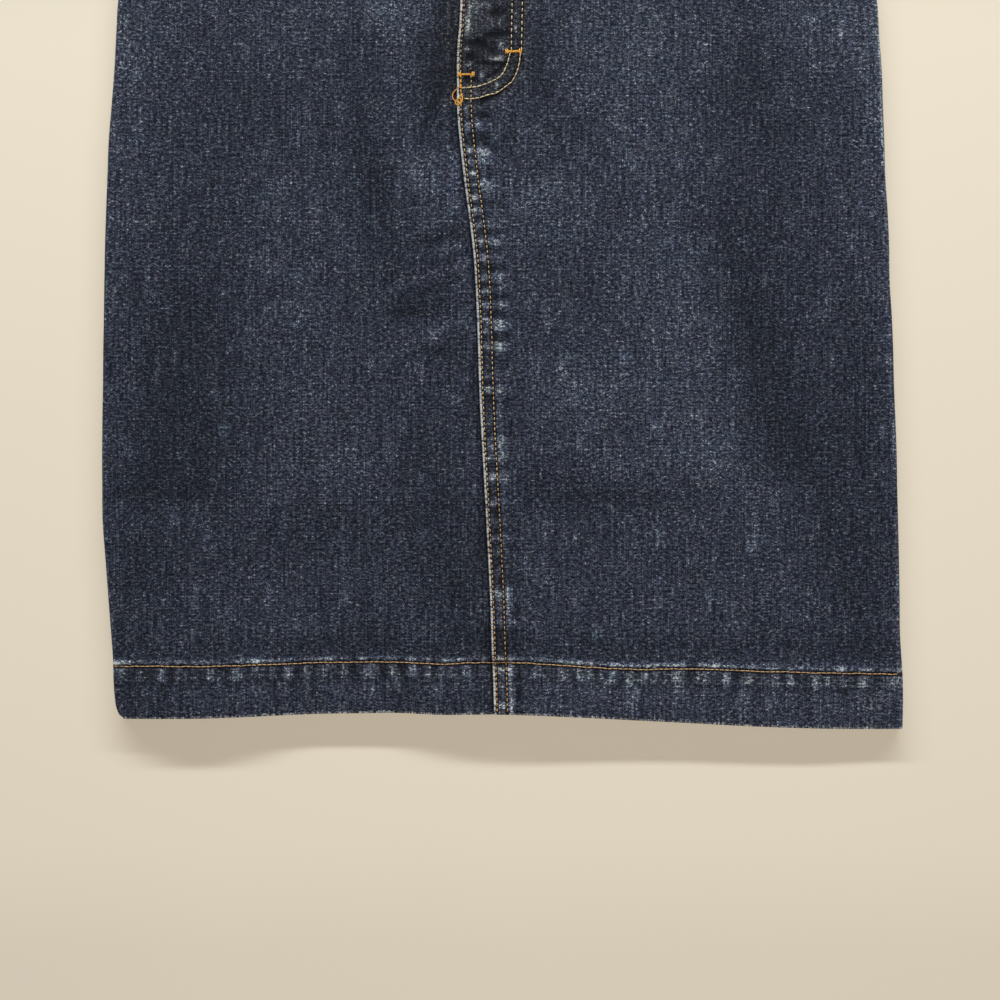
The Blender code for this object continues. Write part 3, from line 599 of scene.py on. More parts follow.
def hemCreases(across, fromStitches):
    # ridges under the hem's stitches, and shorter ones over them
    form, down = hemRidgeForm, -fromStitches
    under, over = zeros(across, down), zeros(across, down)
    for at, strength, halfWidth, reach, lean in zip(*hemRidges.values()):
        line = across - at - lean * fromStitches
        dip = form["dip"] * hump(line, 0, form["dipWidth"] * halfWidth)
        ridge = strength * (hump(line, 0, halfWidth) - dip)
        under += ridge * window(down, form["starts"], [share * reach for share in form["ends"]])
        over += form["over"] * ridge
    for at, halfWidth, strength in hemBumps:
        bump = strength * hump(across, at, halfWidth)
        over += bump
        under += form["bumpUnder"] * bump * hump(down, *form["bumpPlace"])
    return under + over * window(fromStitches, *form["overEnds"])


def hemBand(across, fromStitches):
    # rubbed pale in a band over the hem's stitches, and in one under them down to the edge inside the hem
    wear, down = hemWear, -fromStitches
    toRight = eased(across, *wear["toRight"])
    ends = (wear["under"], wear["dip"], wear["low"])
    under, dip, low = (left + (right - left) * toRight for left, right in ends)
    height, place, halfWidth = wear["over"]
    tone = height * hump(fromStitches, place, halfWidth) * eased(across, *wear["overStarts"])
    height, place, halfWidth = wear["inside"]
    tone += height * hump(down, place, halfWidth) + dip * hump(down, *wear["dipPlace"])
    tone += under * window(down, *wear["underEnds"])
    shortest, longer, soft = wear["streakReach"]
    for at, halfWidth, strength in hemStreaks:
        reach = shortest + longer * strength * (halfWidth - hemBump["halfWidths"][0])
        streak = strength * hump(across + wear["streakLean"] * down, at, wear["streakWidth"] * halfWidth)
        low = low + streak * (1 - eased(down, reach - soft, reach + soft))
    return tone + low * eased(down, *wear["lowStarts"])


def hemStain(fromStitches):
    # the cloth under the hem's stitches has gone a little brown
    kept = 1 - hemWear["stainLost"] * eased(-fromStitches, *hemWear["stainFades"])
    return hemWear["stain"] * eased(-fromStitches, *hemWear["stainStarts"]) * kept


def makeRipples(seed, count, longest, shortest):
    # plane waves that give the cloth its uneven, handled surface
    rng = np.random.default_rng(seed)
    length = rng.uniform(shortest, longest, count)
    angle = rng.uniform(0, math.pi, count)
    return [
        (2 * math.pi * math.cos(a) / w, 2 * math.pi * math.sin(a) / w, p, w / longest)
        for w, a, p in zip(length, angle, rng.uniform(0, 2 * math.pi, count))
    ]


ripples = makeRipples(seed=7, count=26, longest=58, shortest=13)


def rippleHeight(across, up):
    height = zeros(across, up)
    for waveX, waveY, phase, size in ripples:
        height += size * np.sin(across * waveX + up * waveY + phase)
    strength, share = sewing["ripple"]
    return strength * height / share


def patches(rows, across, up):
    # the sum of a table's soft patches; where they lean, they move across as they go up
    tone = zeros(across, up)
    lean = rows.get("lean", 0 * rows["up"])
    columns = (rows["across"], rows["up"], rows["reachAcross"], rows["reachUp"], lean, rows["shade"])
    for x, y, reachX, reachY, slope, shade in zip(*columns):
        tone += shade * hump(across - x - slope * (up - y), 0, reachX) * hump(up, y, reachY)
    return tone


def frontStain(across, up, offset):
    fly = eased(insideFly(offset, up), *denimTone["flyStainInside"])
    fly = fly * eased(offset, *denimTone["flyStainAcross"])
    seam = seamWearAt("stain", up) * hump(offset, *denimTone["seamStain"])
    hemPart = hemStain(up - hemEdge(across) - hemStitching(across))
    return np.maximum(np.maximum(denimTone["flyStain"] * fly, seam), hemPart)


def frontTone(across, up):
    fromStitches = up - hemEdge(across) - hemStitching(across)
    # washed patches, and painted light and shade along small creases
    tone = denimTone["washAndCreaseShading"] * patches(washesAndCreaseShading, across, up)
    tone += denimTone["fold"] * foldHeight(across, up)
    # hem ridges worn pale, with painted light on them and painted shade in their dips
    tone += denimTone["hemRidgeWearAndShading"] * hemCreases(across, fromStitches)
    tone += hemBand(across, fromStitches)
    # painted shade in the groove of the hem's row of stitches
    return tone - denimTone["sewn"] * hump(fromStitches, 0, denimTone["sewnHalfWidth"])


def frontRelief(across, up, row):
    fromStitches = up - hemEdge(across) - hemStitching(across)
    roll, place, halfWidth = sewing["hemRoll"]
    relief = sewing["hemRidge"] * hemCreases(across, fromStitches)
    relief += roll * hump(fromStitches, place, halfWidth)
    relief -= sewing["groove"] * rowGroove(fromStitches)
    return relief + rippleHeight(across, up) * eased(row, *sewing["rippleStarts"])


def together(*parts):
    return np.stack(np.broadcast_arrays(*parts), axis=-1)


def spaced(*runs):
    # places from runs of (start, end, step)
    places = [np.arange(start, end - step / 2, step) for start, end, step in runs]
    return np.concatenate(places + [[runs[-1][1]]])


def runAlong(line):
    # the way from a line's start to each of its points
    return np.concatenate([[0], np.cumsum(np.linalg.norm(np.diff(line, axis=0), axis=1))])


def ringFaces(rings, count, start=0):
    # faces between rings that have count points each
    faces = []
    for ring in range(rings - 1):
        for i in range(count):
            a = start + ring * count + i
            b = start + ring * count + (i + 1) % count
            faces.append([a, b, b + count, a + count])
    return faces


def toMetres(points):
    points = np.array(points, float)
    points[..., 1] -= skirt["length"] / 2
    return points * mm


def addToScene(name, data):
    thing = bpy.data.objects.new(name, data)
    bpy.context.scene.collection.objects.link(thing)
    return thing


def newPiece(name, points, faces, material, attributes, smooth=True):
    mesh = bpy.data.meshes.new(name)
    mesh.from_pydata(toMetres(points).tolist(), [], faces)
    for key, values in attributes.items():
        values = np.asarray(values, np.float32)
        kind, field = ("FLOAT_VECTOR", "vector") if values.ndim == 2 else ("FLOAT", "value")
        mesh.attributes.new(key, kind, "POINT").data.foreach_set(field, values.ravel())
    mesh.validate()
    if smooth:
        mesh.shade_smooth()
    mesh.materials.append(material)
    piece = addToScene(name, mesh)
    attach(piece, "root")
    return piece


def turnOut(piece):
    bm = bmesh.new()
    bm.from_mesh(piece.data)
    bmesh.ops.recalc_face_normals(bm, faces=bm.faces)
    bm.to_mesh(piece.data)
    bm.free()


def clothShell(name, outer, inner, marks, bulges, material):
    # a thin closed shell from an outer and an inner grid; bulges round its rim: hem, side, waist, near edge
    rows, columns = outer.shape[:2]
    count = rows * columns
    index = np.arange(count).reshape(rows, columns)
    corners = (index[:-1, :-1], index[:-1, 1:], index[1:, 1:], index[1:, :-1])
    quads = np.stack([corner.ravel() for corner in corners], axis=1)
    faces = quads.tolist() + (quads[:, ::-1] + count).tolist()
    rimParts = (index[0], index[1:, -1], index[-1, -2::-1], index[-2:0:-1, 0])
    rim = np.concatenate(rimParts)
    near = outer[0, 1, 0] - outer[0, 0, 0]
    ways = ((0, -1, 0), (0, 0, 0), (0, 1, 0), (-np.sign(near), 0, 0))
    ways = np.concatenate([np.tile(w, (len(p), 1)) * k for w, p, k in zip(ways, rimParts, bulges)])
    ways = (ways + np.roll(ways, 1, axis=0)) / 2
    flatOuter, flatInner = outer.reshape(-1, 3), inner.reshape(-1, 3)
    middle = (flatOuter[rim] + flatInner[rim]) / 2
    half = flatOuter[rim] - middle
    rings = [middle + half * math.cos(t) + ways * math.sin(t) for t in rimAngles]
    points = np.concatenate([flatOuter, flatInner] + rings)
    loops = [rim] + [2 * count + i * len(rim) + np.arange(len(rim)) for i in range(len(rings))]
    loops.append(rim + count)
    for p, q in zip(loops, loops[1:]):
        faces += np.stack([p, q, np.roll(q, -1), np.roll(p, -1)], axis=1).tolist()
    attributes = {}
    for key, values in marks.items():
        values = values.reshape(count, -1).squeeze()
        under = values.copy()
        if key == "cloth":
            under[:, 2] = 1  # the wrong side of the cloth
        attributes[key] = np.concatenate([values, under] + [values[rim]] * len(rings))
    piece = newPiece(name, points, faces, material, attributes)
    turnOut(piece)
    return piece


def surfaceOf(*pieces):
    # a lookup of the cloth's surface, for laying thread on it
    points, faces = [], []
    for piece in pieces:
        start = len(points)
        points += [v.co.copy() for v in piece.data.vertices]
        faces += [[start + i for i in p.vertices] for p in piece.data.polygons]
    return BVHTree.FromPolygons(points, faces)


def restOn(surface, across, up, above=True):
    # heights in millimetres of the surface at these places, seen from above or from below
    start, way = (rayStart * mm, -1) if above else (-rayStart * mm, 1)
    heights = []
    for x, y in zip(across, up):
        origin = Vector((x * mm, (y - skirt["length"] / 2) * mm, start))
        hit = surface.ray_cast(origin, Vector((0, 0, way)))[0]
        heights.append(hit.z / mm if hit else heights[-1] if heights else 0.0)
    return np.array(heights)


def display(red, green, blue):
    # a colour as it is seen on a display, 0 to 255, in Blender's linear values
    return tuple(
        c / 12.92 if c <= 0.04045 else ((c + 0.055) / 1.055) ** 2.4
        for c in (red / 255, green / 255, blue / 255)
    ) + (1.0,)


def setInputs(tree, node, values):
    # links a socket, or sets a plain value
    for key, value in values.items():
        if isinstance(value, bpy.types.NodeSocket):
            tree.links.new(value, node.inputs[key])
        else:
            node.inputs[key].default_value = value


def addNode(tree, kind, inputs, **settings):
    # adds a node and gives its outputs
    node = tree.nodes.new("ShaderNode" + kind)
    for key, value in settings.items():
        setattr(node, key, value)
    setInputs(tree, node, inputs)
    return node.outputs


def calc(tree, operation, *values):
    return addNode(tree, "Math", dict(enumerate(values)), operation=operation)[0]


def total(tree, *values):
    result = values[0]
    for value in values[1:]:
        result = calc(tree, "ADD", result, value)
    return result


def product(tree, *values):
    result = values[0]
    for value in values[1:]:
        result = calc(tree, "MULTIPLY", result, value)
    return result


def vectorCalc(tree, operation, first, second):
    return addNode(tree, "VectorMath", {0: first, 1: second}, operation=operation)[0]


def split(tree, vector):
    return addNode(tree, "SeparateXYZ", {0: vector})


def ranged(tree, value, start, end, low=0.0, high=1.0, kind="SMOOTHSTEP"):
    inputs = {"Value": value, "From Min": start, "From Max": end, "To Min": low, "To Max": high}
    return addNode(tree, "MapRange", inputs, interpolation_type=kind)[0]


def noise(tree, vector, scale, detail=2.0, roughness=0.5):
    scaled = vectorCalc(tree, "MULTIPLY", vector, scale)
    inputs = {"Vector": scaled, "Scale": 1.0, "Detail": detail, "Roughness": roughness}
    return calc(tree, "SUBTRACT", addNode(tree, "TexNoise", inputs)[0], 0.5)


def mark(tree, name, output="Vector"):
    return addNode(tree, "Attribute", {}, attribute_name=name)[output]


def tinted(tree, factor, tint):
    # white, changing to a tint
    return addNode(tree, "Mix", {"Factor": factor, "A": (1, 1, 1), "B": tint}, data_type="VECTOR")["Result"]


def ramp(tree, value, stops):
    node = tree.nodes.new("ShaderNodeValToRGB")
    setInputs(tree, node, {0: value})
    elements = node.color_ramp.elements
    while len(elements) < len(stops):
        elements.new(0.5)
    for element, (place, colour) in zip(elements, stops):
        element.position = place
        element.color = display(*colour)
    return node.outputs[0]


def bump(tree, height, strength, distance):
    return addNode(tree, "Bump", {"Height": height, "Strength": strength, "Distance": distance})[0]


def newMaterial(name):
    material = bpy.data.materials.new(name)
    material.use_nodes = True
    return material, material.node_tree, material.node_tree.nodes["Principled BSDF"]


def newGroup(name, inputs, outputs):
    # inputs and outputs give each socket's name and kind
    tree = bpy.data.node_groups.new(name, "ShaderNodeTree")
    for way, sockets in (("INPUT", inputs), ("OUTPUT", outputs)):
        for label, kind in sockets.items():
            tree.interface.new_socket(label, in_out=way, socket_type="NodeSocket" + kind)
    return tree, tree.nodes.new("NodeGroupInput").outputs, tree.nodes.new("NodeGroupOutput")


# the noises of the grain: how fast each changes across, up and through the cloth, its detail and roughness
grainNoises = {
    "fleck": ((0.43, 0.58, 1.0), 2.0, 0.9),
    "fine": ((1.9, 1.6, 1.0), 0.0),
    "yarn": ((1.5, 0.045, 1.0), 2.0),
    "slub": ((0.75, 0.02, 1.0), 1.0),
    "mottle": ((0.15, 0.12, 1.0), 3.0, 0.6),
    "shift": ((0.85, 0.035, 1.0), 0.0),
    "thick": ((1.1, 0.028, 1.0), 0.0),
    "wander": ((0.055, 0.04, 1.0), 3.0, 0.6),
    "few": ((0.045, 0.05, 1.0), 1.0),
    "rubbed": ((0.085, 0.055, 1.0), 5.0, 0.72),
    "rosy": ((0.09, 0.08, 4.0), 4.0, 0.8),
    "bluish": ((0.08, 0.09, 9.0), 4.0, 0.8),
}

# how they are put together
grainForm = {
    "inputs": ("Fleck", "Streak", "Mottle", "Smudge", "Weave", "Wrinkle", "Pitch"),
    "fine": 0.28,  # how strong the fine flecks are beside the large ones
    "shift": 11.0,  # how far the weave's dashes are out of step from one yarn to the next
    "thick": (0.22, 0.34, 0.0, 0.22),  # which places are thick yarn, and how pale it is
    "wrinkle": (0.016, 0.0),
    "few": (0.04, 0.2),
    "rubbed": (0.03, 0.2),
    "rosy": (0.5, 0.99),  # how much the red changes, and its middle
    "rubbedRosy": -0.05,
    "bluish": (0.5, 1.0),
    "yarnHeight": 0.5,
    "edge": ((0.55, 0.55, 1.0), 3.0, 0.65),  # the noise that makes worn edges uneven, and how strong it is
    "edgeStrength": 3.0,
    "edgeFade": (1.0, 0.35),
}


def twillGroup():
    # the grain of washed denim: pale weft flecks, warp streaks of uneven yarn, and the dashes of its weave
    form = grainForm
    inputs = {"Cloth": "Vector", **dict.fromkeys(form["inputs"], "Float")}
    outputs = {"Grain": "Float", "Height": "Float", "Tint": "Vector"}
    tree, given, made = newGroup("twillGrain", inputs, outputs)
    speck = {name: noise(tree, given["Cloth"], *settings) for name, settings in grainNoises.items()}
    flecks = total(tree, speck["fleck"], product(tree, speck["fine"], form["fine"]))
    thick = ranged(tree, speck["thick"], *form["thick"])
    turns = calc(tree, "DIVIDE", product(tree, split(tree, given["Cloth"])[1], 2 * math.pi), given["Pitch"])
    shift = product(tree, speck["shift"], form["shift"])
    weave = product(tree, calc(tree, "SINE", total(tree, turns, shift)), given["Weave"])
    wrinkle = ranged(tree, calc(tree, "ABSOLUTE", speck["wander"]), *form["wrinkle"])
    wrinkle = product(tree, wrinkle, ranged(tree, speck["few"], *form["few"]), given["Wrinkle"])
    rubbed = ranged(tree, speck["rubbed"], *form["rubbed"])
    grain = total(
        tree,
        product(tree, flecks, given["Fleck"]),
        product(tree, total(tree, speck["yarn"], speck["slub"], thick), given["Streak"]),
        product(tree, speck["mottle"], given["Mottle"]),
        weave,
        wrinkle,
        product(tree, rubbed, given["Smudge"]),
    )
    rosy = calc(tree, "MULTIPLY_ADD", speck["rosy"], *form["rosy"])
    rosy = calc(tree, "MULTIPLY_ADD", rubbed, form["rubbedRosy"], rosy)
    bluish = calc(tree, "MULTIPLY_ADD", speck["bluish"], *form["bluish"])
    tint = addNode(tree, "CombineXYZ", {"X": rosy, "Y": 1.0, "Z": bluish})[0]
    height = total(tree, speck["fleck"], product(tree, speck["yarn"], form["yarnHeight"]), weave)
    setInputs(tree, made, {"Grain": grain, "Height": height, "Tint": tint})
    return tree


def wornEdgeGroup():
    # how far an edge has been rubbed pale, unevenly, from the distance to it
    inputs = {"Distance": "Float", "Cloth": "Vector", "Width": "Float", "Uneven": "Float"}
    tree, given, made = newGroup("wornEdge", inputs, {"Worn": "Float"})
    rough = product(tree, noise(tree, given["Cloth"], *grainForm["edge"]), given["Uneven"])
    shifted = calc(tree, "MULTIPLY_ADD", rough, grainForm["edgeStrength"], given["Distance"])
    share = calc(tree, "DIVIDE", shifted, given["Width"])
    setInputs(tree, made, {"Worn": ranged(tree, share, *grainForm["edgeFade"])})
    return tree


denim = {
    "middle": 0.3505,  # how pale the plain cloth is, 0 to 1 along its colours
    "fleck": 2.0,
    "streak": 0.34,
    "mottle": 0.31,
    "smudge": 0.16,  # soft pale smudges of wear all over
    "weave": 0.07,
    "wrinkle": 0.17,
    "pitch": 1.86,  # of the weave's dashes
    "toneSpeckle": 0.35,  # pale places show more flecks
    "colours": [
        (0.0, (13, 14, 22)),
        (0.2, (24, 27, 38)),
        (0.4, (44, 48, 60)),
        (0.6, (71, 76, 90)),
        (0.8, (114, 118, 127)),
        (1.0, (192, 195, 195)),
    ],
    "wrongSide": 0.28,  # the inside of the cloth shows more of its pale weft
    "roughness": (0.2, 0.8, 0.82, 0.97),  # over how pale it is
    "specular": 0.06,
    "sheen": 0.04,
    "sheenRoughness": 0.6,
    "bump": 0.45,
    "bumpDepth": 0.00022,
    "stain": (1.14, 0.99, 0.76),
    "bluer": (-0.15, 0.15, 0.95, 1.05),  # how much bluer the cloth is where it is washed pale
    "wornTint": (0.962, 1.02, 0.972),  # and its cast where it is rubbed paler still
    "wornFrom": (0.04, 0.26),
    "foldWear": (2.0, 0.72),  # width and strength, rubbed along the folded front edge
    "hemWear": (2.2, 0.4),
    "sideWear": (1.6, 0.22),
    "uneven": 1.3,
    "edgeStarts": -0.6,  # what lies further out than this is the other front
    "shadowAtFold": 0.34,  # dirt and shade on the cloth that lies against the folded edge
    "shadowParts": 3,  # what its far and close parts come to together
    "shadowWidth": (-7.0, -0.7),
    "shadowClose": (-2.4, -0.7, 0.0, 2.0),
}

twill = twillGroup()
wornEdge = wornEdgeGroup()


def denimMaterial(name, shift):
    # shift moves the grain, so that no two panels share it
    material, tree, shader = newMaterial(name)
    cloth = mark(tree, "cloth")
    sheet = vectorCalc(tree, "ADD", cloth, shift)
    values = {label: denim[label.lower()] for label in grainForm["inputs"]}
    grain = addNode(tree, "Group", {"Cloth": sheet, **values}, node_tree=twill)
    tone = mark(tree, "tone", "Fac")
    edges = split(tree, mark(tree, "edges"))
    worn = []
    for key, distance in zip(("foldWear", "hemWear", "sideWear"), edges):
        width, strength = denim[key]
        values = {"Cloth": sheet, "Distance": distance, "Width": width, "Uneven": denim["uneven"]}
        rubbed = addNode(tree, "Group", values, node_tree=wornEdge)[0]
        inside = calc(tree, "GREATER_THAN", distance, denim["edgeStarts"])
        worn.append(product(tree, rubbed, inside, strength))
    contact = ranged(tree, edges[0], *denim["shadowWidth"])
    close = ranged(tree, edges[0], *denim["shadowClose"])
    under = calc(tree, "LESS_THAN", edges[0], denim["edgeStarts"])
    shade = product(tree, total(tree, contact, close), under, -denim["shadowAtFold"] / denim["shadowParts"])
    lively = calc(tree, "MULTIPLY_ADD", calc(tree, "MAXIMUM", tone, 0.0), denim["toneSpeckle"], 1.0)
    plain = calc(tree, "MULTIPLY_ADD", split(tree, cloth)[2], denim["wrongSide"], denim["middle"])
    paleness = total(tree, product(tree, grain["Grain"], lively), tone, *worn, shade, plain)
    fresh = addNode(tree, "CombineXYZ", {"X": 1.0, "Y": 1.0, "Z": ranged(tree, tone, *denim["bluer"])})[0]
    stained = tinted(tree, mark(tree, "stain", "Fac"), denim["stain"])
    rubbed = tinted(tree, ranged(tree, tone, *denim["wornFrom"]), denim["wornTint"])
    colour = ramp(tree, paleness, denim["colours"])
    for tint in (grain["Tint"], stained, fresh, rubbed):
        colour = vectorCalc(tree, "MULTIPLY", colour, tint)
    looks = {
        "Base Color": colour,
        "Roughness": ranged(tree, paleness, *denim["roughness"]),
        "Normal": bump(tree, grain["Height"], denim["bump"], denim["bumpDepth"]),
        "Specular IOR Level": denim["specular"],
        "Sheen Weight": denim["sheen"],
        "Sheen Roughness": denim["sheenRoughness"],
    }
    setInputs(tree, shader, looks)
    return material


# the panels: bulges are the roundness of the rim at the hem, side, waist and near edge, and flat and area
# are the sizes of the flat cloth, in metres
frontLeft = {
    "foldLead": 0.5,  # the folded edge is this much further out than the line of its wear
    "rows": ((0.9, 27, 1.7), (27, 38, 0.8), (38, 372, 2.5), (372, 462, 1.25), (462, 545.3, 2.7)),
    "seamColumns": ((0.8, 15, 0.6), (15, 45, 0.95)),
    "waverFades": (6, 25),
    "bodyStep": 2.15,
    "foldSteps": 9,
    "bulges": (0.9, 0.0, 0.3, 0.8),
    "flat": (0.285, 0.552),
    "area": 0.146,
}

frontRight = {
    "rows": ((0.9, 27, 1.7), (27, 38, 0.8), (38, 545.3, 2.5)),
    "edgeColumns": (0.6, 1.1, 1.6, 2.2, 3.0, 4.0, 5.5, 7.5, 10.0),
    "underlapShares": (1.0, 0.75, 0.5, 0.25, 0.0),
    "hidden": (-1.3, -0.6),  # where the other front starts to cover it
    "fold": -0.7,
    "bodyStep": 2.15,
    "foldSteps": 9,
    "bulges": (0.9, 0.0, 0.3, 0.3),
    "flat": (0.262, 0.552),
    "area": 0.135,
}

back = {
    "rows": ((0.9, 27, 2.2), (27, 38, 1.1), (38, 545.3, 3.6)),
    "seamColumns": ((0.15, 14.2, 0.8),),
    "bodyStep": 3.4,
    "foldSteps": 8,
    "bulges": (0.8, 0.0, 0.3, 0.0),
    "flat": (0.252, 0.562),
    "area": 0.137,
    "seamRows": (2.2, 8.5),  # both on the viewer's side where the allowance lies
    "seamCreases": (395, -0.68),  # the front seam's creases, turned over and stretched
    "seamRub": (0.2, 1.2),
    "ripple": 0.56,
    "rippleShift": 300,
    "ridge": 0.12,
    "groove": 0.15,
    "deepestDip": -1,
    "mostRelief": 0.6,
}


def frontLeftSeam(up, outward):
    offsets = outward * spaced(*frontLeft["seamColumns"])
    waver = (foldEdge(up) - frontEdge(up)) * (1 - eased(offsets, *frontLeft["waverFades"]))
    return frontEdge(up) + offsets - frontLeft["foldLead"] + waver


def frontLeftForm(across, up, row):
    offset, fromFold = across - frontEdge(up), across - foldEdge(up)
    wall = wallAt(row)
    layer = skirt["cloth"] + skirt["gap"]
    inner = frontHeight(across, up, row) - wall + layer * lapped(offset, up, skirt["lapRamp"] / 2)
    outer = inner + wall + np.maximum(skirt["doubleCloth"] - wall, 0) * lapped(offset, up, 0)
    creases, fly = seamCreases(fromFold, up), patches(flyMarks, across, up)
    seamRows, flyRows = seamSewing(fromFold, up), flySewing(offset, up)
    sewn = np.maximum(seamRows, flyRows)
    relief = frontRelief(across, up, row) + sewing["flyRelief"] * fly
    relief += sewing["seamRidge"] * np.maximum(creases, sewing["deepestSeamDip"])
    relief -= np.maximum(sewing["groove"] * seamRows, sewing["flyGroove"] * flyRows)
    down, halfWidth = sewing["edgeRound"]
    relief -= down * hump(fromFold, -frontLeft["foldLead"], halfWidth)
    # painted shade in the grooves of the seam's and fly's rows of stitches
    tone = frontTone(across, up) + creaseTone(creases) - denimTone["sewn"] * sewn
    tone += seamPaleness(fromFold, up) + denimTone["fly"] * fly
    stain = np.maximum(frontStain(across, up, offset), denimTone["sewnStain"] * sewn)
    return outer + relief, inner, fromFold + frontLeft["foldLead"], tone, stain


def frontRightSeam(up, outward):
    under = -underlapWidth(up) * np.array(frontRight["underlapShares"])
    places = np.concatenate([under, frontRight["edgeColumns"] + 0 * up], axis=1)
    return frontEdge(up) + outward * places


def frontRightForm(across, up, row):
    offset = across - frontEdge(up)
    wall = wallAt(row)
    inner = frontHeight(across, up, row) - wall
    visible = 1 - eased(offset, *frontRight["hidden"])
    outer = inner + skirt["cloth"] + (wall - skirt["cloth"] + frontRelief(across, up, row)) * visible
    tone = frontTone(across, up) + seamWearAt("beside", up) * hump(offset, *denimTone["besideSeam"])
    fromFold = np.minimum(across - foldEdge(up), frontRight["fold"])
    return outer, inner, fromFold, tone, frontStain(across, up, offset)


def backPanelSeam(up, outward):
    return backSeam(up) + outward * spaced(*back["seamColumns"])


def backForm(across, up, row):
    # the two rows and their creases are on the viewer's right of the seam
    onRight = across > backSeam(up)
    wall = wallAt(row)
    fromSeam = np.abs(across - backSeam(up)) - skirt["gap"] / 2
    allowance = skirt["backSeamAllowance"]
    doubled = 1 - eased(fromSeam, allowance, allowance + skirt["backSeamRamp"])
    inner = wall + np.maximum(skirt["doubleCloth"] - wall, 0) * doubled
    fromStitches = up - backHemEdge(across) - hemStitching(across)
    ridges = hemCreases(-across, fromStitches)
    start, stretch = back["seamCreases"]
    creases = seamCreases(fromSeam, start + stretch * up) * onRight
    sewn = np.maximum(*(rowGroove(fromSeam - place) for place in back["seamRows"])) * onRight
    relief = back["ripple"] * np.maximum(rippleHeight(across + back["rippleShift"], up), 0)
    relief += back["ridge"] * (1 - np.maximum(ridges + creases, back["deepestDip"]))
    relief += back["groove"] * (sewn + rowGroove(fromStitches))
    outer = skirt["underside"] + np.clip(relief, 0, back["mostRelief"])
    # the front's washed patches and painted crease light and shade, mirrored
    tone = denimTone["washAndCreaseShading"] * patches(washesAndCreaseShading, -across, up) + hemBand(-across, fromStitches)
    # hem ridges worn pale, with painted light on them and painted shade in their dips
    tone += denimTone["hemRidgeWearAndShading"] * ridges + creaseTone(creases)
    # painted shade in the grooves of the back seam's rows and the hem's row
    tone -= denimTone["sewn"] * np.maximum(sewn, hump(fromStitches, 0, denimTone["sewnHalfWidth"]))
    rub, halfWidth = back["seamRub"]
    tone += rub * hump(fromSeam, 0, halfWidth) * onRight
    return outer, inner, farAway + zeros(across, up), tone, hemStain(fromStitches)


def sideArc(side, up, rows, onFront, steps):
    # the columns round a side fold, from its flat edge to the side seam
    outward = 1 if side == "right" else -1
    radius = foldRadius(rows)
    middle = sideEdge(side, up) - outward * radius
    roll = np.radians(along(sides, "up", "rightRoll", up)) if side == "right" else np.zeros_like(up)
    turn = 1 if onFront else -1
    share = np.arange(1, steps + 1) / steps
    grids = []
    for r in (radius, radius - wallAt(rows)):
        seam = roll + turn * np.arcsin(skirt["gap"] / 2 / r)
        angle = turn * math.pi / 2 + (seam - turn * math.pi / 2)[:, None] * share
        across = middle[:, None] + outward * r[:, None] * np.cos(angle)
        height = radius[:, None] + r[:, None] * np.sin(angle)
        grids.append(together(across, up[:, None], height))
    return grids[0], grids[1], radius[:, None] * np.abs(angle - turn * math.pi / 2)


def makePanel(name, side, onFront, panel, seamPlaces, form, material):
    # its seam columns, then even steps over the flat cloth, then the round fold at its side
    outward = 1 if side == "right" else -1
    lines = (hemEdge, frontWaist) if onFront else (backHemEdge, backWaist)
    centre = frontEdge if onFront else backSeam
    rows = spaced(*panel["rows"])
    row = rows[:, None]
    seam = seamPlaces(upAt(row, centre(0), *lines), outward)
    start = seam[:, -1:]
    upSide = upAt(rows, sideEdge(side, upAt(rows, seam[:, -1], *lines)), *lines)
    way = (sideEdge(side, upSide) - outward * foldRadius(rows))[:, None] - start
    steps = int(np.abs(way).max() / panel["bodyStep"])
    share = np.arange(1, steps + 1) / steps
    across = np.concatenate([seam, start + way * share], axis=1)
    up = upAt(row, across, *lines)
    outer, inner, fromFold, tone, stain = form(across, up, row)
    arcOuter, arcInner, arc = sideArc(side, upSide, rows, onFront, panel["foldSteps"])
    arcOuter[..., 2] = np.maximum(arcOuter[..., 2], skirt["underside"])
    outer = np.concatenate([together(across, up, outer), arcOuter], axis=1)
    inner = np.concatenate([together(across, up, inner), arcInner], axis=1)
    up = outer[..., 1]
    pastFlat = np.concatenate([outward * (across - across[:, -1:]), arc], axis=1)
    fromFold = np.concatenate([fromFold, farAway * np.sign(fromFold[:, -1:]) + arc], axis=1)
    tone = np.concatenate([tone, tone[:, -1:] + 0 * arc], axis=1)
    if onFront:
        tone += along(sideRubs, "up", side, up) * eased(pastFlat, *denimTone["sideRub"])
    marks = {
        "cloth": together(across[:, -1:] + outward * pastFlat, up, 0),
        "edges": together(fromFold, row, pastFlat[:, -1:] - pastFlat),
        "tone": tone,
        "stain": np.concatenate([stain, 0 * arc], axis=1),
    }
    return clothShell(name, outer, inner, marks, panel["bulges"], material)


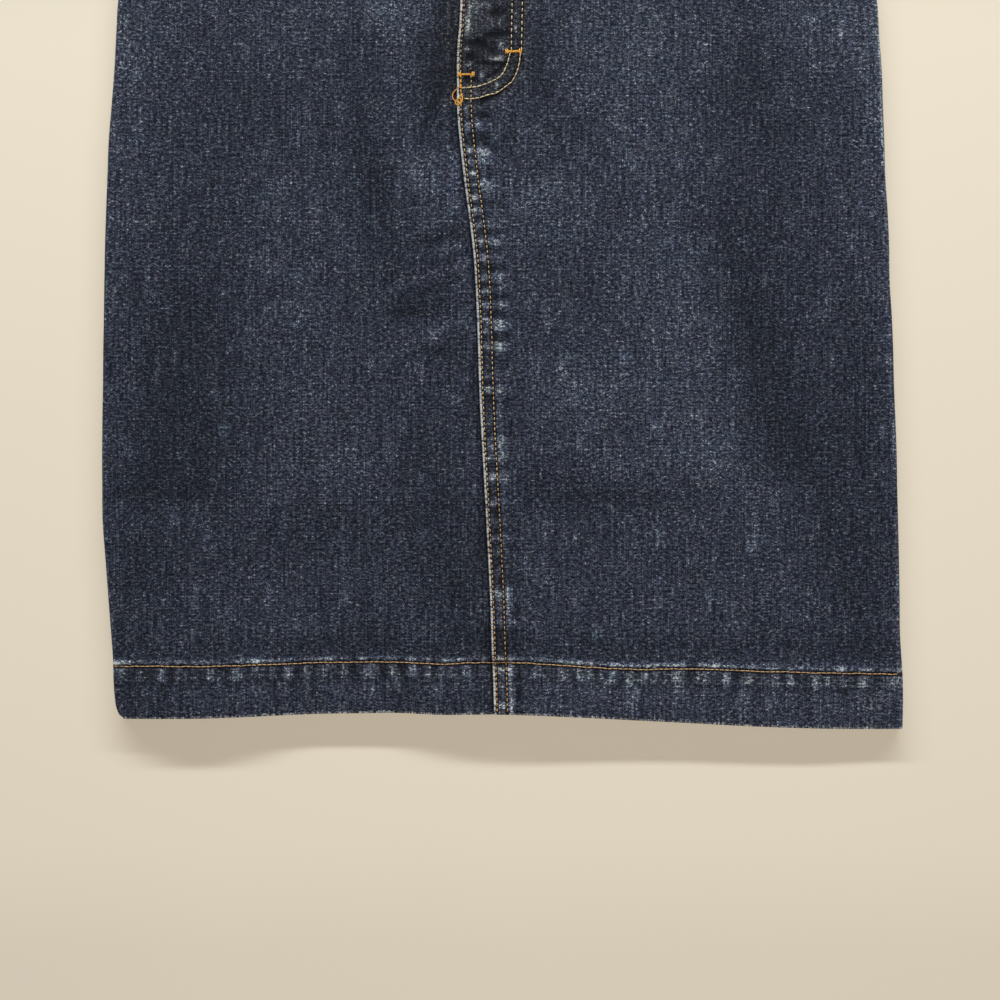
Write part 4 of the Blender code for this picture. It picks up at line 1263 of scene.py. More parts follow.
band = {
    "cloth": 2.4,
    "space": 0.6,
    "taper": 0.974,
    "overlapEnd": -27.0,
    "underlapEnd": 7.0,
    "overlapRamp": 12.0,
    "rampAfter": 1.0,  # the overlap comes down from this far past the underlap's end
    "step": 2.2,  # along the band
    "rampSteps": 13,
    "foldSteps": 16,
    "faceRows": ((1.6, 4.4, 5), (6, 34, 14), (35, 38.5, 6)),  # up its outer face: first, last and how many
    "insideRows": 12,
    "edgeRound": 1.0,
    "edgeTurns": (0, 30, 60, 90),  # where the points of a round edge lie, in degrees
    "stitchesIn": 2.4,  # the rows of stitches run this far inside its two edges
    "groove": 0.2,
    "rope": 0.07,  # the twist that the stitches draw up beside them
    "ropeWaves": (0.9, 2, 0.13),
    "ropePlace": (3.0, 2.5),
    "paler": 0.03,
    "ropeTone": 0.1,
    # painted shade in the grooves of its rows of stitches
    "grooveShade": -0.26,
    "middleRub": (0.06, 20, 14),
    "wearInset": 0.9,  # its edges are rubbed less than the hem's by this much
    "clothFrom": 40,
    "flat": (0.040, 0.800),
}

button = {
    "fromEnd": 13.0,
    "radius": 8.5,
    "shankRadius": 1.6,
    "shankShort": 0.1,  # the shank ends this far under the head's seat
    "shankRubbed": (0.3, 0.1),  # at its foot and at its top
    "sides": 96,
    "eyelet": 2.3,
    "eyeletSteps": 25,
    "keyholeLength": 19.0,
    "keyholeWidth": 1.0,
    "keyholeFloor": 0.15,  # the buttonhole is cut down to this far over the underlap
    "keyholeOver": 1.0,
    "metal": (148, 112, 78),
    "worn": (196, 162, 122),
    "grime": (44, 34, 28),
    "metalAt": 0.45,  # how polished it is where its own colour shows
    "polish": 0.7,
    "cloudy": ((0.6, 0.6, 0.6), 4.0, 0.6),
    "scratched": ((6.0, 0.9, 1.0), 2.0),
    "cloudyShare": 0.9,
    "scratchedShare": 0.35,
    "roughness": (0.1, 0.9, 0.62, 0.3),  # over how polished it is
    "bump": 0.25,
    "bumpDepth": 0.0001,
    "sharpOver": 50,
}

# the button's head, in from its edge and over its seat; rubbed is 0 in its grooves and 1 where fingers
# polish it
buttonHead = readTable(
    "inset rise rubbed",
    (0.9, 0, 0.2), (0.25, 0.15, 0.4), (0, 0.55, 0.8), (0, 1.3, 0.9), (0.12, 1.75, 1), (0.45, 2.12, 1),
    (0.85, 2.28, 1), (1.25, 2.22, 0.8), (1.6, 1.9, 0.35), (1.8, 1.62, 0), (2, 1.55, 0.05), (2.9, 1.66, 0.5),
    (3.7, 1.72, 0.5), (3.95, 1.6, 0.1), (4.15, 1.72, 0.4), (4.8, 1.98, 0.7), (5.8, 2.16, 0.9), (7.2, 2.24, 1),
    (8.5, 2.25, 1),
)


def bandPath():
    # the middle line of the waistband as (across, height), from its overlap end to its underlap end
    half = band["cloth"] / 2
    backLine, frontLine = half, half + band["cloth"] + band["space"]
    overLine = frontLine + band["cloth"] + skirt["gap"]
    radius = (frontLine - backLine) / 2
    middle = backLine + radius
    right = sides["right"][waistRow] - radius - half
    left = sides["left"][waistRow] + radius + half
    rampStart = band["underlapEnd"] + band["rampAfter"]
    rampEnd = rampStart + band["overlapRamp"]
    turn = np.linspace(0, math.pi, band["foldSteps"])
    path = [(x, overLine) for x in np.arange(band["overlapEnd"], rampStart, band["step"] / 2)]
    for share in np.linspace(0, 1, band["rampSteps"]):
        height = overLine + (frontLine - overLine) * eased(share, 0, 1)
        path.append((rampStart + share * band["overlapRamp"], height))
    path += [(x, frontLine) for x in np.arange(rampEnd, right, band["step"])[1:]]
    path += [(right + radius * math.sin(a), middle + radius * math.cos(a)) for a in turn]
    path += [(x, backLine) for x in np.arange(right, left, -band["step"])[1:]]
    path += [(left - radius * math.sin(a), middle - radius * math.cos(a)) for a in turn]
    path += [(x, frontLine) for x in np.arange(left, band["underlapEnd"], band["step"])[1:]]
    return np.array(path + [(band["underlapEnd"], frontLine)])


def bandSection():
    # (out, up) round the band's section, up its outer face and down its inner one, with round edges
    half, width, edge = band["cloth"] / 2, skirt["bandWidth"], band["edgeRound"]
    face = np.concatenate([[edge]] + [np.linspace(*run) for run in band["faceRows"]])
    inside = np.linspace(width - edge, edge, band["insideRows"])[1:-1]
    out, top = half - edge, width - edge
    rounds = []
    for x, y, start in ((out, top, 0), (-out, top, 90), (-out, edge, 180), (out, edge, 270)):
        turn = np.radians(start + np.array(band["edgeTurns"]))
        rounds.append([(x + edge * math.cos(a), y + edge * math.sin(a)) for a in turn])
    section = [(half, up) for up in face] + rounds[0] + rounds[1]
    section += [(-half, up) for up in inside] + rounds[2] + rounds[3][:-1]
    return np.array(section)


def makeBand(material):
    path, section = bandPath(), bandSection()
    ahead = np.gradient(path, axis=0)
    ahead /= np.linalg.norm(ahead, axis=1)[:, None]
    x, z = path[:, :1], path[:, 1:]
    outX, outZ = -ahead[:, 1:], ahead[:, :1]
    run = runAlong(path)[:, None]
    out, up = section.T
    width = skirt["bandWidth"]
    middle = (sides["left"][waistRow] + sides["right"][waistRow]) / 2
    seamLine = np.where(z > band["cloth"] + band["space"] / 2, frontWaist(x), backWaist(x))
    onFace = out > band["cloth"] / 2 - tiny
    nearRow = np.abs(np.minimum(up, width - up) - band["stitchesIn"])
    groove = rowGroove(nearRow) * onFace
    fast, sway, slow = band["ropeWaves"]
    rope = onFace * np.sin(run * fast + sway * np.sin(run * slow)) * hump(nearRow, *band["ropePlace"])
    reach = out - band["groove"] * groove + band["rope"] * rope
    taper = 1 + (band["taper"] - 1) * up / width
    across = middle + (x + reach * outX - middle) * taper
    height = np.maximum(z + reach * outZ, skirt["underside"])
    points = together(across, seamLine + up, height).reshape(-1, 3)
    rub, place, halfWidth = band["middleRub"]
    # painted shade in the stitch grooves, with the twist's tone and a little paleness
    tone = band["ropeTone"] * rope + band["grooveShade"] * groove + band["paler"]
    toEdge = np.minimum(up, width - up) + band["wearInset"]
    toEnd = np.minimum(run, run[-1] - run) + band["wearInset"]
    marks = {
        "cloth": together(up + band["clothFrom"], run, 0).reshape(-1, 3),
        "edges": together(farAway, toEdge, toEnd).reshape(-1, 3),
        "tone": (tone + rub * hump(up, place, halfWidth)).ravel(),
    }
    count = len(section)
    faces = [list(range(count)), list(range(len(points) - count, len(points)))]
    faces += ringFaces(len(path), count)
    piece = newPiece("waistbandCloth", points, faces, material, marks)
    turnOut(piece)
    cutKeyhole(piece, material)
    return piece


def buttonPlace():
    across = band["overlapEnd"] + button["fromEnd"]
    up = frontWaist(across) + skirt["bandWidth"] / 2
    underlapTop = 2 * band["cloth"] + band["space"]
    return across, up, underlapTop, underlapTop + skirt["gap"] + band["cloth"]


def keyholeOutline(grow=0.0):
    across, up, _, _ = buttonPlace()
    radius, half = button["eyelet"] + grow, button["keyholeWidth"] / 2 + grow
    halfAngle = math.asin(half / radius)
    turn = np.linspace(halfAngle, 2 * math.pi - halfAngle, button["eyeletSteps"])
    outline = [(across + radius * math.cos(a), up + radius * math.sin(a)) for a in turn]
    end = across + button["keyholeLength"] + grow
    return outline + [(end, up - half), (end, up + half)]


def cutKeyhole(piece, material):
    _, _, underlapTop, overlapTop = buttonPlace()
    outline = keyholeOutline()
    count = len(outline)
    heights = (underlapTop + button["keyholeFloor"], overlapTop + button["keyholeOver"])
    points = [(x, y, z) for z in heights for x, y in outline]
    faces = [list(range(count)), list(range(count, 2 * count))] + ringFaces(2, count)
    cutter = newPiece("keyholeCutter", points, faces, material, {}, smooth=False)
    turnOut(cutter)
    cut = piece.modifiers.new("keyhole", "BOOLEAN")
    cut.object = cutter
    cut.operation = "DIFFERENCE"
    shaped = bpy.data.meshes.new_from_object(piece.evaluated_get(bpy.context.evaluated_depsgraph_get()))
    piece.modifiers.clear()
    piece.data = shaped
    bpy.data.objects.remove(cutter)


def metalMaterial():
    material, tree, shader = newMaterial("agedBrass")
    place = mark(tree, "cloth")
    scratched = noise(tree, place, *button["scratched"])
    cloudy = product(tree, noise(tree, place, *button["cloudy"]), button["cloudyShare"])
    scratches = product(tree, scratched, button["scratchedShare"])
    rubbed = total(tree, mark(tree, "tone", "Fac"), cloudy, scratches)
    stops = [(0.0, button["grime"]), (button["metalAt"], button["metal"]), (1.0, button["worn"])]
    looks = {
        "Base Color": ramp(tree, rubbed, stops),
        "Roughness": ranged(tree, rubbed, *button["roughness"]),
        "Metallic": 1.0,
        "Normal": bump(tree, scratched, button["bump"], button["bumpDepth"]),
    }
    setInputs(tree, shader, looks)
    return material


def makeButton():
    across, up, underlapTop, overlapTop = buttonPlace()
    foot, seat = underlapTop + skirt["gap"], overlapTop + skirt["gap"]
    shank, (footRubbed, neckRubbed) = button["shankRadius"], button["shankRubbed"]
    rings = [(shank, foot, footRubbed), (shank, seat - button["shankShort"], neckRubbed)]
    for inset, rise, rubbed in zip(*buttonHead.values()):
        rings.append((button["radius"] - inset, seat + rise, rubbed))
    _, top, topRubbed = rings.pop()
    turn = np.linspace(0, 2 * math.pi, button["sides"], endpoint=False)
    points = [(r * math.cos(a), r * math.sin(a), height) for r, height, _ in rings for a in turn]
    tone = [button["polish"] * rubbed for _, _, rubbed in rings for _ in turn]
    count = len(turn)
    faces = ringFaces(len(rings), count)
    low, high, last = len(points), len(points) + 1, len(points) - count
    points += [(0, 0, foot), (0, 0, top)]
    tone += [footRubbed, button["polish"] * topRubbed]
    for i in range(count):
        faces.append([low, (i + 1) % count, i])
        faces.append([high, last + i, last + (i + 1) % count])
    marks = {"cloth": np.array(points), "tone": tone}
    points = marks["cloth"] + (across, up, 0)
    piece = newPiece("waistButton", points, faces, metalMaterial(), marks)
    turnOut(piece)
    piece.data.set_sharp_from_angle(angle=math.radians(button["sharpOver"]))
    return piece


# sewing thread: lengths of a stitch, how it lies, and its dyes
thread = {
    "radius": 0.35,
    "thin": 0.45,  # how thin a stitch gets at its ends, as a share of its radius
    "length": 3.15,  # a stitch and the hole after it
    "hole": 1.1,
    "shortest": 0.1,
    "lift": 0.2,  # how far the middle of a stitch stands over the cloth
    "arch": 0.6,  # the lower, the squarer its rise
    "sink": 0.32,
    "bedded": 0.35,  # how far its own middle lies over the cloth, as a share of its radius
    "overFloor": 0.03,
    "sides": 6,
    "rings": 6,
    "uneven": 0.1,
    "wander": 0.12,
    "gold": (200, 160, 112),
    "straw": (238, 214, 170),
    "sand": (214, 176, 122),
    "bronze": (196, 150, 92),
    "orange": (255, 186, 70),
    "amber": (226, 158, 84),
    "dyeUneven": (0.82, 1.12),
    "outOfStep": 50.0,  # how far one stitch's plies may be out of step with the next's
    "twist": (9.0, 14.0),  # of its plies, along it and round it
    "plyShade": 0.13,
    "dull": ((1.5, 1.5, 1.0), 2.0),
    "dullShare": 0.5,
    "plain": 0.86,
    "roughness": (-1.0, 1.0, 0.75, 0.5),  # over its plies
    "bump": 0.5,
    "bumpDepth": 0.00008,
    "specular": 0.3,
}

# a thread that lies loose on the cloth
looseThread = {
    "step": 0.8,
    "fewest": 4,  # points along it
    "bedded": 0.5,
    "thin": 0.6,
    "ends": (0.05, 0.95),
    "arch": 0.4,
}

# one of the close stitches of a bar tack
barStitch = {
    "pitch": 0.42,
    "radius": 0.26,
    "thin": 0.6,
    "slant": 0.22,
    "height": 0.5,
    "sink": 0.1,
    "points": 5,
    "uneven": (0.85, 1.15),
}

# and one of those round the buttonhole
holeStitch = {
    "inner": 0.15,  # how far from the cut its two ends lie
    "outer": 2.0,
    "pitch": 0.55,
    "radius": 0.24,
    "thin": 0.6,
    "height": 0.45,
    "sink": 0.05,
    "points": 5,
    "hidden": 0.15,  # how much of its arch lies in the cut
    "arch": 0.7,
}


def threadMaterial():
    material, tree, shader = newMaterial("sewingThread")
    place = mark(tree, "cloth")
    run, aside = split(tree, place)[:2]
    lengthwise, sideways = thread["twist"]
    slope = calc(tree, "MULTIPLY_ADD", run, lengthwise, product(tree, aside, sideways))
    ply = calc(tree, "SINE", slope)
    dull = product(tree, noise(tree, place, *thread["dull"]), thread["dullShare"])
    shade = total(tree, product(tree, ply, thread["plyShade"]), dull, thread["plain"])
    looks = {
        "Base Color": vectorCalc(tree, "MULTIPLY", mark(tree, "dye"), shade),
        "Roughness": ranged(tree, ply, *thread["roughness"]),
        "Normal": bump(tree, ply, thread["bump"], thread["bumpDepth"]),
        "Specular IOR Level": thread["specular"],
    }
    setInputs(tree, shader, looks)
    return material


def tapered(form, arch):
    # the radius of a stitch along its arch, thin at both ends
    return form["radius"] * (form["thin"] + (1 - form["thin"]) * arch)


class ThreadPile:
    # collects stitches, and turns them into one mesh
    def __init__(self, seed):
        self.rng = np.random.default_rng(seed)
        self.points, self.faces, self.place, self.dye = [], [], [], []

    def addTube(self, centre, radius, colour):
        # one thread along its centre points, with round closed ends
        centre = np.array(centre, float)
        way = np.gradient(centre, axis=0)
        way /= np.linalg.norm(way, axis=1)[:, None]
        flat = np.cross(way, (0.0, 0.0, 1.0))
        flat /= np.maximum(np.linalg.norm(flat, axis=1), 1e-6)[:, None]
        high = np.cross(flat, way)
        count, start = thread["sides"], len(self.points)
        turn = np.arange(count) * 2 * math.pi / count
        offset = self.rng.uniform(0, thread["outOfStep"])
        tint = np.array(display(*colour)[:3]) * self.rng.uniform(*thread["dyeUneven"])
        for c, f, h, r, s in zip(centre, flat, high, radius, runAlong(centre)):
            for a in turn:
                self.points.append(c + r * (f * math.cos(a) + h * math.sin(a)))
                self.place.append((offset + s, r * math.cos(a), 0.0))
                self.dye.append(tint)
        self.faces += ringFaces(len(centre), count, start)
        self.faces.append(list(range(start + count - 1, start - 1, -1)))
        self.faces.append(list(range(len(self.points) - count, len(self.points))))

    def sewRow(self, line, surface, colour, above=True, **changes):
        # stitches along a line of (across, up) points, laid on the surface, with changes to the thread
        yarn = {**thread, **changes}
        x, y = np.array(line, float).T
        run = runAlong(np.array(line, float))
        count = max(1, round(run[-1] / yarn["length"]))
        needles = np.linspace(0, run[-1], count + 1)
        needles[1:-1] += self.rng.normal(0, yarn["uneven"], count - 1)
        holes = np.column_stack([np.interp(needles, run, x), np.interp(needles, run, y)])
        holes += self.rng.normal(0, yarn["wander"] / 2, holes.shape)
        share = np.linspace(0, 1, yarn["rings"])
        arch = np.sin(math.pi * share) ** yarn["arch"]
        size = tapered(yarn, arch)
        stand = yarn["lift"] * arch - yarn["sink"] * (1 - arch) + yarn["bedded"] * yarn["radius"]
        for a, b in zip(holes[:-1], holes[1:]):
            gap = yarn["hole"] / 2 / max(np.linalg.norm(b - a), yarn["shortest"])
            flat = a + (b - a) * (gap + (1 - 2 * gap) * share)[:, None]
            heights = restOn(surface, *flat.T, above) + (stand if above else -stand)
            if not above:
                heights = np.maximum(heights, size + yarn["overFloor"])
            self.addTube(np.column_stack([flat, heights]), size, colour)

    def layThread(self, line, surface, colour, radius, lift):
        # a loose thread along a smooth line of (across, up) points
        form = {**looseThread, "radius": radius}
        line = np.array(line, float)
        keys = {"run": runAlong(line), "x": line[:, 0], "y": line[:, 1]}
        length = keys["run"][-1]
        at = np.linspace(0, length, max(form["fewest"], int(length / form["step"])))
        x, y = along(keys, "run", "x", at), along(keys, "run", "y", at)
        heights = restOn(surface, x, y) + lift + radius * form["bedded"]
        arch = np.sin(math.pi * np.linspace(*form["ends"], len(at))) ** form["arch"]
        self.addTube(np.column_stack([x, y, heights]), tapered(form, arch), colour)

    def satin(self, start, end, width, surface, colour):
        # close stitches side by side across a bar
        form = barStitch
        start, end = np.array(start, float), np.array(end, float)
        length = np.linalg.norm(end - start)
        way = (end - start) / length
        side = np.array([-way[1], way[0]])
        share = np.linspace(-1, 1, form["points"])
        arch = 1 - share**2
        for i, at in enumerate(np.arange(0, length + form["pitch"] / 2, form["pitch"])):
            lean = (form["slant"] if i % 2 else -form["slant"]) * way
            half = side * width / 2 * self.rng.uniform(*form["uneven"])
            flat = start + way * at + np.outer(share, half + lean)
            heights = restOn(surface, *flat.T) + form["height"] * arch - form["sink"]
            self.addTube(np.column_stack([flat, heights]), tapered(form, arch), colour)

    def finish(self, name, material):
        marks = {"cloth": np.array(self.place), "dye": np.array(self.dye)}
        return newPiece(name, self.points, self.faces, material, marks)


def upLine(edge, shift, bottom, top, step=4.0):
    # a line up the front, at a shift from an edge or a row
    up = np.linspace(bottom, top, max(2, round((top - bottom) / step)))
    return np.column_stack([edge(up) + shift, up])


def firstRow(up):
    return foldEdge(up) + edgeRow(up)


# the J of the fly: its corner as it was sewn, a little uneven, as (across, up)
flyCorner = {
    "inner": [
        (4.8, 419.4), (3.6, 414.2), (2, 409), (-1.6, 403.9), (-5.5, 401.9), (-10.3, 399.7), (-16.6, 397.7),
        (-25.6, 397.1),
    ],
    "outer": [
        (11.3, 419.7), (10.7, 414.8), (9.1, 407.8), (5.9, 401.5), (1.2, 397.8), (-4, 394.3), (-11.1, 392.5),
        (-16.6, 390.6), (-19.3, 390), (-23.7, 390.6),
    ],
    "loop": [
        (-24.2, 397.2), (-25.6, 397.5), (-27.1, 397.7), (-29.3, 396.4), (-30.9, 393.8), (-30.7, 391),
        (-29.3, 389.7), (-27.4, 389.5),
    ],
    "tangle": [
        (-25.4, 393.6), (-24.8, 390.2), (-25.7, 387.4), (-27.7, 386.5), (-29.1, 388), (-28.4, 390),
        (-26.6, 390.6), (-25.6, 388.9), (-26.8, 387.6), (-28, 388.6),
    ],
}

# how far the rows stay inside the ends of the cloth
rowEnds = {
    "bottom": 1.4,
    "top": 1.5,
    "sides": 1.2,
    "underSides": 2.0,  # and the row under the hem stays in by this much more
    "bandSides": 2.0,
    "overlap": 0.6,
}

# how the rows of the seams and the hem differ from plain sewing
centreRows = {
    "turns": (150, 385, 406),  # how far up the first row turns from bronze to sand, orange and gold
    "orangeStep": 3.0,
    "orange": {"hole": 0.25, "radius": 0.36},
    "gold": {"hole": 1.5},
}

flyRows = {
    "straight": {"hole": 1.4, "length": 3.95},
    "corner": {"hole": 0.05, "wander": 0.2},
    "loop": (0.36, 0.15),  # the loose thread's radius and lift
    "tangle": (0.42, 0.3),
}

hemRows = {
    "endsAt": 35.0,  # how far up the sides their ends are measured
    "front": {"hole": 0.02, "radius": 0.31, "wander": 0.28, "sink": 0.12},
    "under": {"hole": 0.1},
}


def makeCentreSewing(surface, material):
    pile = ThreadPile(seed=11)
    top, second = frontWaist(0) - rowEnds["top"], sewing["twinNeedle"]
    bottom, secondBottom = hemEdge(frontEdge(0)) + rowEnds["bottom"], hemEdge(0) + rowEnds["bottom"]
    sand, orange, gold = centreRows["turns"]
    pile.sewRow(upLine(firstRow, 0, bottom, sand), surface, thread["bronze"])
    pile.sewRow(upLine(firstRow, 0, sand, orange), surface, thread["sand"])
    nearTack = upLine(firstRow, 0, orange, gold, centreRows["orangeStep"])
    pile.sewRow(nearTack, surface, thread["orange"], **centreRows["orange"])
    pile.sewRow(upLine(firstRow, 0, gold, top), surface, thread["gold"], **centreRows["gold"])
    pile.sewRow(upLine(firstRow, second, secondBottom, sand), surface, thread["bronze"])
    pile.sewRow(upLine(firstRow, second, sand, sewing["seamRowTop"]), surface, thread["sand"])
    return pile.finish("centreSeamStitches", material)


def makeFlySewing(surface, material):
    pile = ThreadPile(seed=12)
    top = frontWaist(0) - rowEnds["top"]
    for key, offset in (("inner", sewing["flyRow"] - sewing["twinNeedle"]), ("outer", sewing["flyRow"])):
        corner = flyCorner[key]
        straight = upLine(frontEdge, offset, corner[0][1], top)
        pile.sewRow(straight[::-1], surface, thread["straw"], **flyRows["straight"])
        pile.sewRow(corner, surface, thread["straw"], **flyRows["corner"])
    pile.layThread(flyCorner["loop"], surface, thread["amber"], *flyRows["loop"])
    pile.layThread(flyCorner["tangle"], surface, thread["orange"], *flyRows["tangle"])
    return pile.finish("flyStitches", material)


barTacks = {
    "fly": ((2.6, 419.6), (11.1, 420.2), 1.5),
    "seam": ((-26.8, 405.6), (-18.2, 405.6), 1.1),
    "ends": (1.0, 3.0),  # the small bars across each end: how far apart their threads lie, and their length
    "endThread": (0.34, 0.3),  # its radius and lift
}


def makeBarTacks(surface, material):
    pile = ThreadPile(seed=13)
    spread, length = barTacks["ends"]
    for key in ("fly", "seam"):
        start, end, width = barTacks[key]
        pile.satin(start, end, width, surface, thread["orange"])
        for x, y in (start, end):
            for shift in (-spread / 2, spread / 2):
                line = [(x + shift, y + way * length / 2) for way in (-1, 0, 1)]
                pile.layThread(line, surface, thread["orange"], *barTacks["endThread"])
    return pile.finish("barTacks", material)


def hemLine(edge, left, right):
    across = np.arange(left, right, rowStep)
    return np.column_stack([across, edge(across) + hemStitching(across)])


def makeHemSewing(front, under, material):
    pile = ThreadPile(seed=14)
    left = sideEdge("left", hemRows["endsAt"]) + rowEnds["sides"]
    right = sideEdge("right", hemRows["endsAt"]) - rowEnds["sides"]
    inset = rowEnds["underSides"]
    frontLine, backLine = hemLine(hemEdge, left, right), hemLine(backHemEdge, left + inset, right - inset)
    pile.sewRow(frontLine, front, thread["gold"], **hemRows["front"])
    pile.sewRow(backLine, under, thread["gold"], above=False, **hemRows["under"])
    return pile.finish("hemStitches", material)


def makeBackSeamSewing(under, material):
    pile = ThreadPile(seed=15)
    up = np.arange(backHemEdge(0) + rowEnds["bottom"], backWaist(0) - rowEnds["top"], rowStep)
    for offset in back["seamRows"]:
        pile.sewRow(np.column_stack([backSeam(up) + offset, up]), under, thread["straw"], above=False)
    return pile.finish("backSeamStitches", material)


def makeBandSewing(surface, material):
    pile = ThreadPile(seed=16)
    inset, width, end = band["stitchesIn"], skirt["bandWidth"], band["overlapEnd"]
    ends = np.array([sides["left"][waistRow], sides["right"][waistRow]])
    middle = ends.mean()
    for up in (inset, width - inset):
        taper = 1 + (band["taper"] - 1) * up / width
        left, right = middle + (ends + (rowEnds["bandSides"], -rowEnds["bandSides"]) - middle) * taper
        for start, stop, above in (
            (left, end - rowEnds["overlap"], True),
            (end + inset, right, True),
            (left, right, False),
        ):
            waist = frontWaist if above else backWaist
            across = np.append(np.arange(start, stop, rowStep), stop)
            line = np.column_stack([across, waist(across) + up])
            pile.sewRow(line, surface, thread["straw"], above=above)
    x = end + inset
    line = [(x, frontWaist(x) + up) for up in (inset, width / 2, width - inset)]
    pile.sewRow(line, surface, thread["straw"])
    return pile.finish("waistbandStitches", material)


def makeButtonhole(material):
    pile = ThreadPile(seed=17)
    form, top = holeStitch, buttonPlace()[-1]
    outlines = [keyholeOutline(form["inner"]), keyholeOutline(form["outer"])]
    closed = [np.array(outline + outline[:1]) for outline in outlines]
    t = np.linspace(0, 1, form["points"])
    arch = np.sin(math.pi * (form["hidden"] + (1 - form["hidden"]) * t)) ** form["arch"]
    # the two outlines have the same points, so a stitch joins the same share of each stretch
    for a, b, c, d in zip(closed[0], closed[0][1:], closed[1], closed[1][1:]):
        count = max(1, round(np.linalg.norm(d - c) / form["pitch"]))
        for share in (np.arange(count) + 0.5) / count:
            start, end = a + (b - a) * share, c + (d - c) * share
            heights = top + form["height"] * arch - form["sink"]
            stitch = np.column_stack([start + (end - start) * t[:, None], heights])
            pile.addTube(stitch, tapered(form, arch), thread["straw"])
    return pile.finish("buttonholeStitches", material)


stage = {
    # the paper's colour by how far up the floor it lies, in metres: painted light, paler at the top of the
    # view and darker at its bottom as a lamp's falloff makes it, and painted shade where it nears the key
    # lamp
    "paper": [
        (-0.44, (219, 208, 188)),
        (-0.375, (226, 215, 195)),
        (-0.1, (231, 220, 199)),
        (0.13, (238, 227, 205)),
        (0.6, (210, 200, 181)),
        (1.2, (181, 172, 156)),
        (2.0, (143, 136, 123)),
        (3.0, (103, 98, 89)),
    ],
    "size": 6.0,
    "cloudy": ((7.0, 4.0, 1.0), 4.0),
    "cloudyShare": 0.01,
    "roughness": 0.95,
    "ambient": 0.077,
    "warm": (1.0, 0.953, 0.909),
    "cool": (0.85, 0.927, 1.0),
    "keyPlace": (0.0, 4.0, 1.1),
    "keySize": (8.0, 0.16),
    "keyWatts": 428.0,
    "lampPlace": (0.1, -0.4, 2.1),
    "lampSize": (0.9, 0.9),
    "lampWatts": 26.7,
}

camera = {
    "lookAt": (-1.55, 142.0),  # the place under the lens, as (across, up)
    "lens": 50.0,
    "sensor": 36.0,
    "fieldWidth": 620.0,  # how much of the skirt the camera takes in, at its cloth
    "clothHeight": 4.5,
}


def makeFloor():
    half = stage["size"] / 2
    mesh = bpy.data.meshes.new("floor")
    corners = [(-half, -half, 0), (half, -half, 0), (half, half, 0), (-half, half, 0)]
    mesh.from_pydata(corners, [], [(0, 1, 2, 3)])
    floor = addToScene("floor", mesh)
    material, tree, shader = newMaterial("palePaper")
    place = addNode(tree, "TexCoord", {})["Object"]
    low, high = stage["paper"][0][0], stage["paper"][-1][0]
    stops = [((at - low) / (high - low), colour) for at, colour in stage["paper"]]
    cloudy = product(tree, noise(tree, place, *stage["cloudy"]), stage["cloudyShare"])
    # the floor's painted light and shade: its colour changes with how far up it lies
    share = total(tree, ranged(tree, split(tree, place)[1], low, high, kind="LINEAR"), cloudy)
    looks = {
        "Base Color": ramp(tree, share, stops),
        "Roughness": stage["roughness"],
        "Specular IOR Level": 0.0,
    }
    setInputs(tree, shader, looks)
    mesh.materials.append(material)


def addLamp(name, place, size, watts, colour):
    # a soft rectangular lamp that faces the skirt
    lamp = bpy.data.lights.new(name, "AREA")
    lamp.shape = "RECTANGLE"
    lamp.size, lamp.size_y = size
    lamp.energy = watts
    lamp.color = colour
    holder = addToScene(name, lamp)
    holder.location = place
    aim = toMetres([(*camera["lookAt"], 0)])[0] - np.array(place)
    holder.rotation_euler = Vector(aim).to_track_quat("-Z", "Y").to_euler()


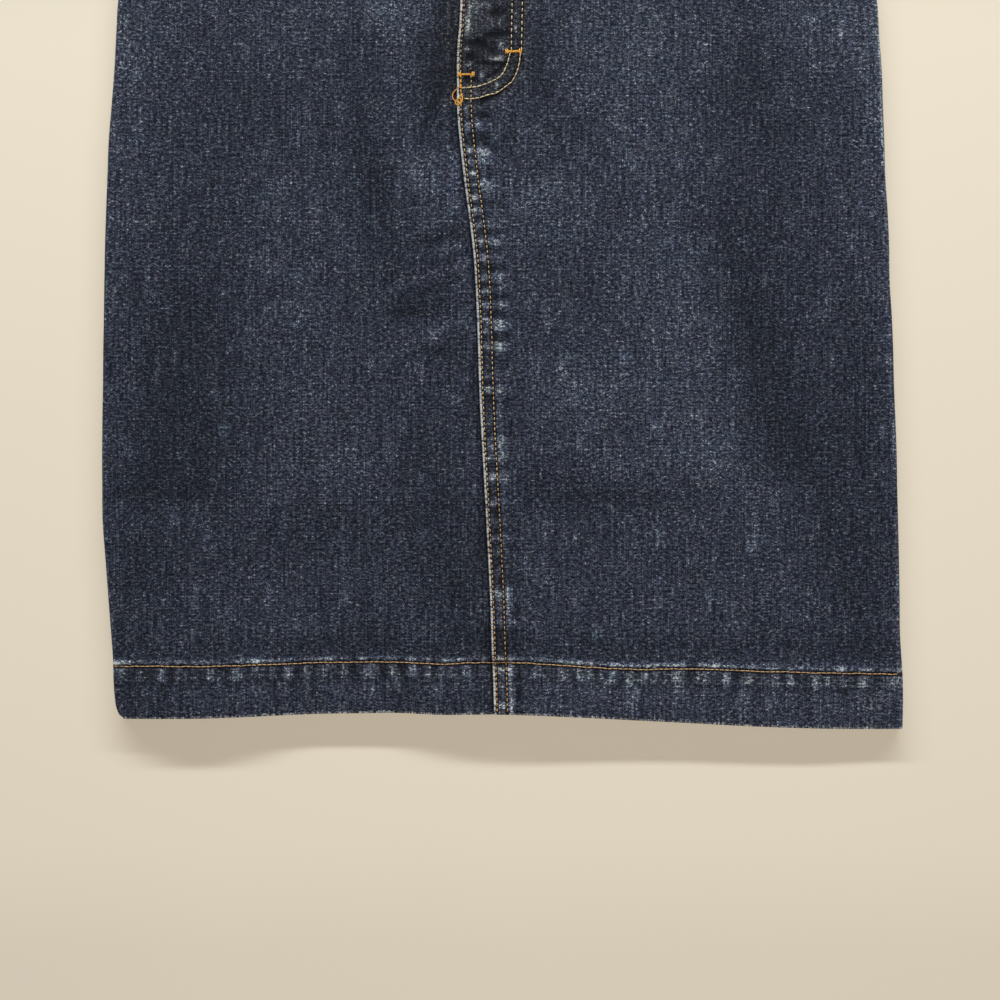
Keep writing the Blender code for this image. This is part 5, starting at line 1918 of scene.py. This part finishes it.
def makeLights():
    world = bpy.data.worlds.new("studio")
    world.use_nodes = True
    sky = {"Color": stage["warm"] + (1,), "Strength": stage["ambient"]}
    setInputs(world.node_tree, world.node_tree.nodes["Background"], sky)
    bpy.context.scene.world = world
    addLamp("key", stage["keyPlace"], stage["keySize"], stage["keyWatts"], stage["cool"])
    addLamp("overhead", stage["lampPlace"], stage["lampSize"], stage["lampWatts"], stage["warm"])


def makeCamera():
    data = bpy.data.cameras.new("camera")
    data.lens, data.sensor_width = camera["lens"], camera["sensor"]
    distance = camera["fieldWidth"] * camera["lens"] / camera["sensor"]
    lens = addToScene("camera", data)
    lens.location = toMetres([(*camera["lookAt"], camera["clothHeight"] + distance)])[0]
    bpy.context.scene.camera = lens


bpy.context.scene.view_settings.view_transform = "Standard"
makeFloor()
makeLights()
makeCamera()
print("stage, lights and camera are set")

leftFront = makePanel(
    "frontLeftCloth", "right", True, frontLeft, frontLeftSeam, frontLeftForm,
    denimMaterial("denimFrontLeft", (40, 0, 0)),
)
rightFront = makePanel(
    "frontRightCloth", "left", True, frontRight, frontRightSeam, frontRightForm,
    denimMaterial("denimFrontRight", (0, 0, 0)),
)
print("front panels are cut")
rightBack = makePanel(
    "backRightCloth", "left", False, back, backPanelSeam, backForm,
    denimMaterial("denimBackRight", (0, 700, 0)),
)
leftBack = makePanel(
    "backLeftCloth", "right", False, back, backPanelSeam, backForm,
    denimMaterial("denimBackLeft", (300, 700, 0)),
)
print("back panels are cut")
waistCloth = makeBand(denimMaterial("denimWaistband", (900, 0, 0)))
waistButton = makeButton()
print("waistband and button are made")

sewingThread = threadMaterial()
frontSurface = surfaceOf(leftFront, rightFront)
backSurface = surfaceOf(leftBack, rightBack)
bandSurface = surfaceOf(waistCloth)
centreStitches = makeCentreSewing(frontSurface, sewingThread)
flyStitches = makeFlySewing(frontSurface, sewingThread)
tacks = makeBarTacks(frontSurface, sewingThread)
hemStitches = makeHemSewing(frontSurface, backSurface, sewingThread)
backStitches = makeBackSeamSewing(backSurface, sewingThread)
bandStitches = makeBandSewing(bandSurface, sewingThread)
buttonhole = makeButtonhole(sewingThread)
print("rows of stitches are sewn")

for piece, node in (
    (leftFront, "front_left_panel"),
    (rightFront, "front_right_panel"),
    (leftBack, "back_left_panel"),
    (rightBack, "back_right_panel"),
    (waistCloth, "waistband"),
    (waistButton, "waist_button"),
):
    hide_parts(node)
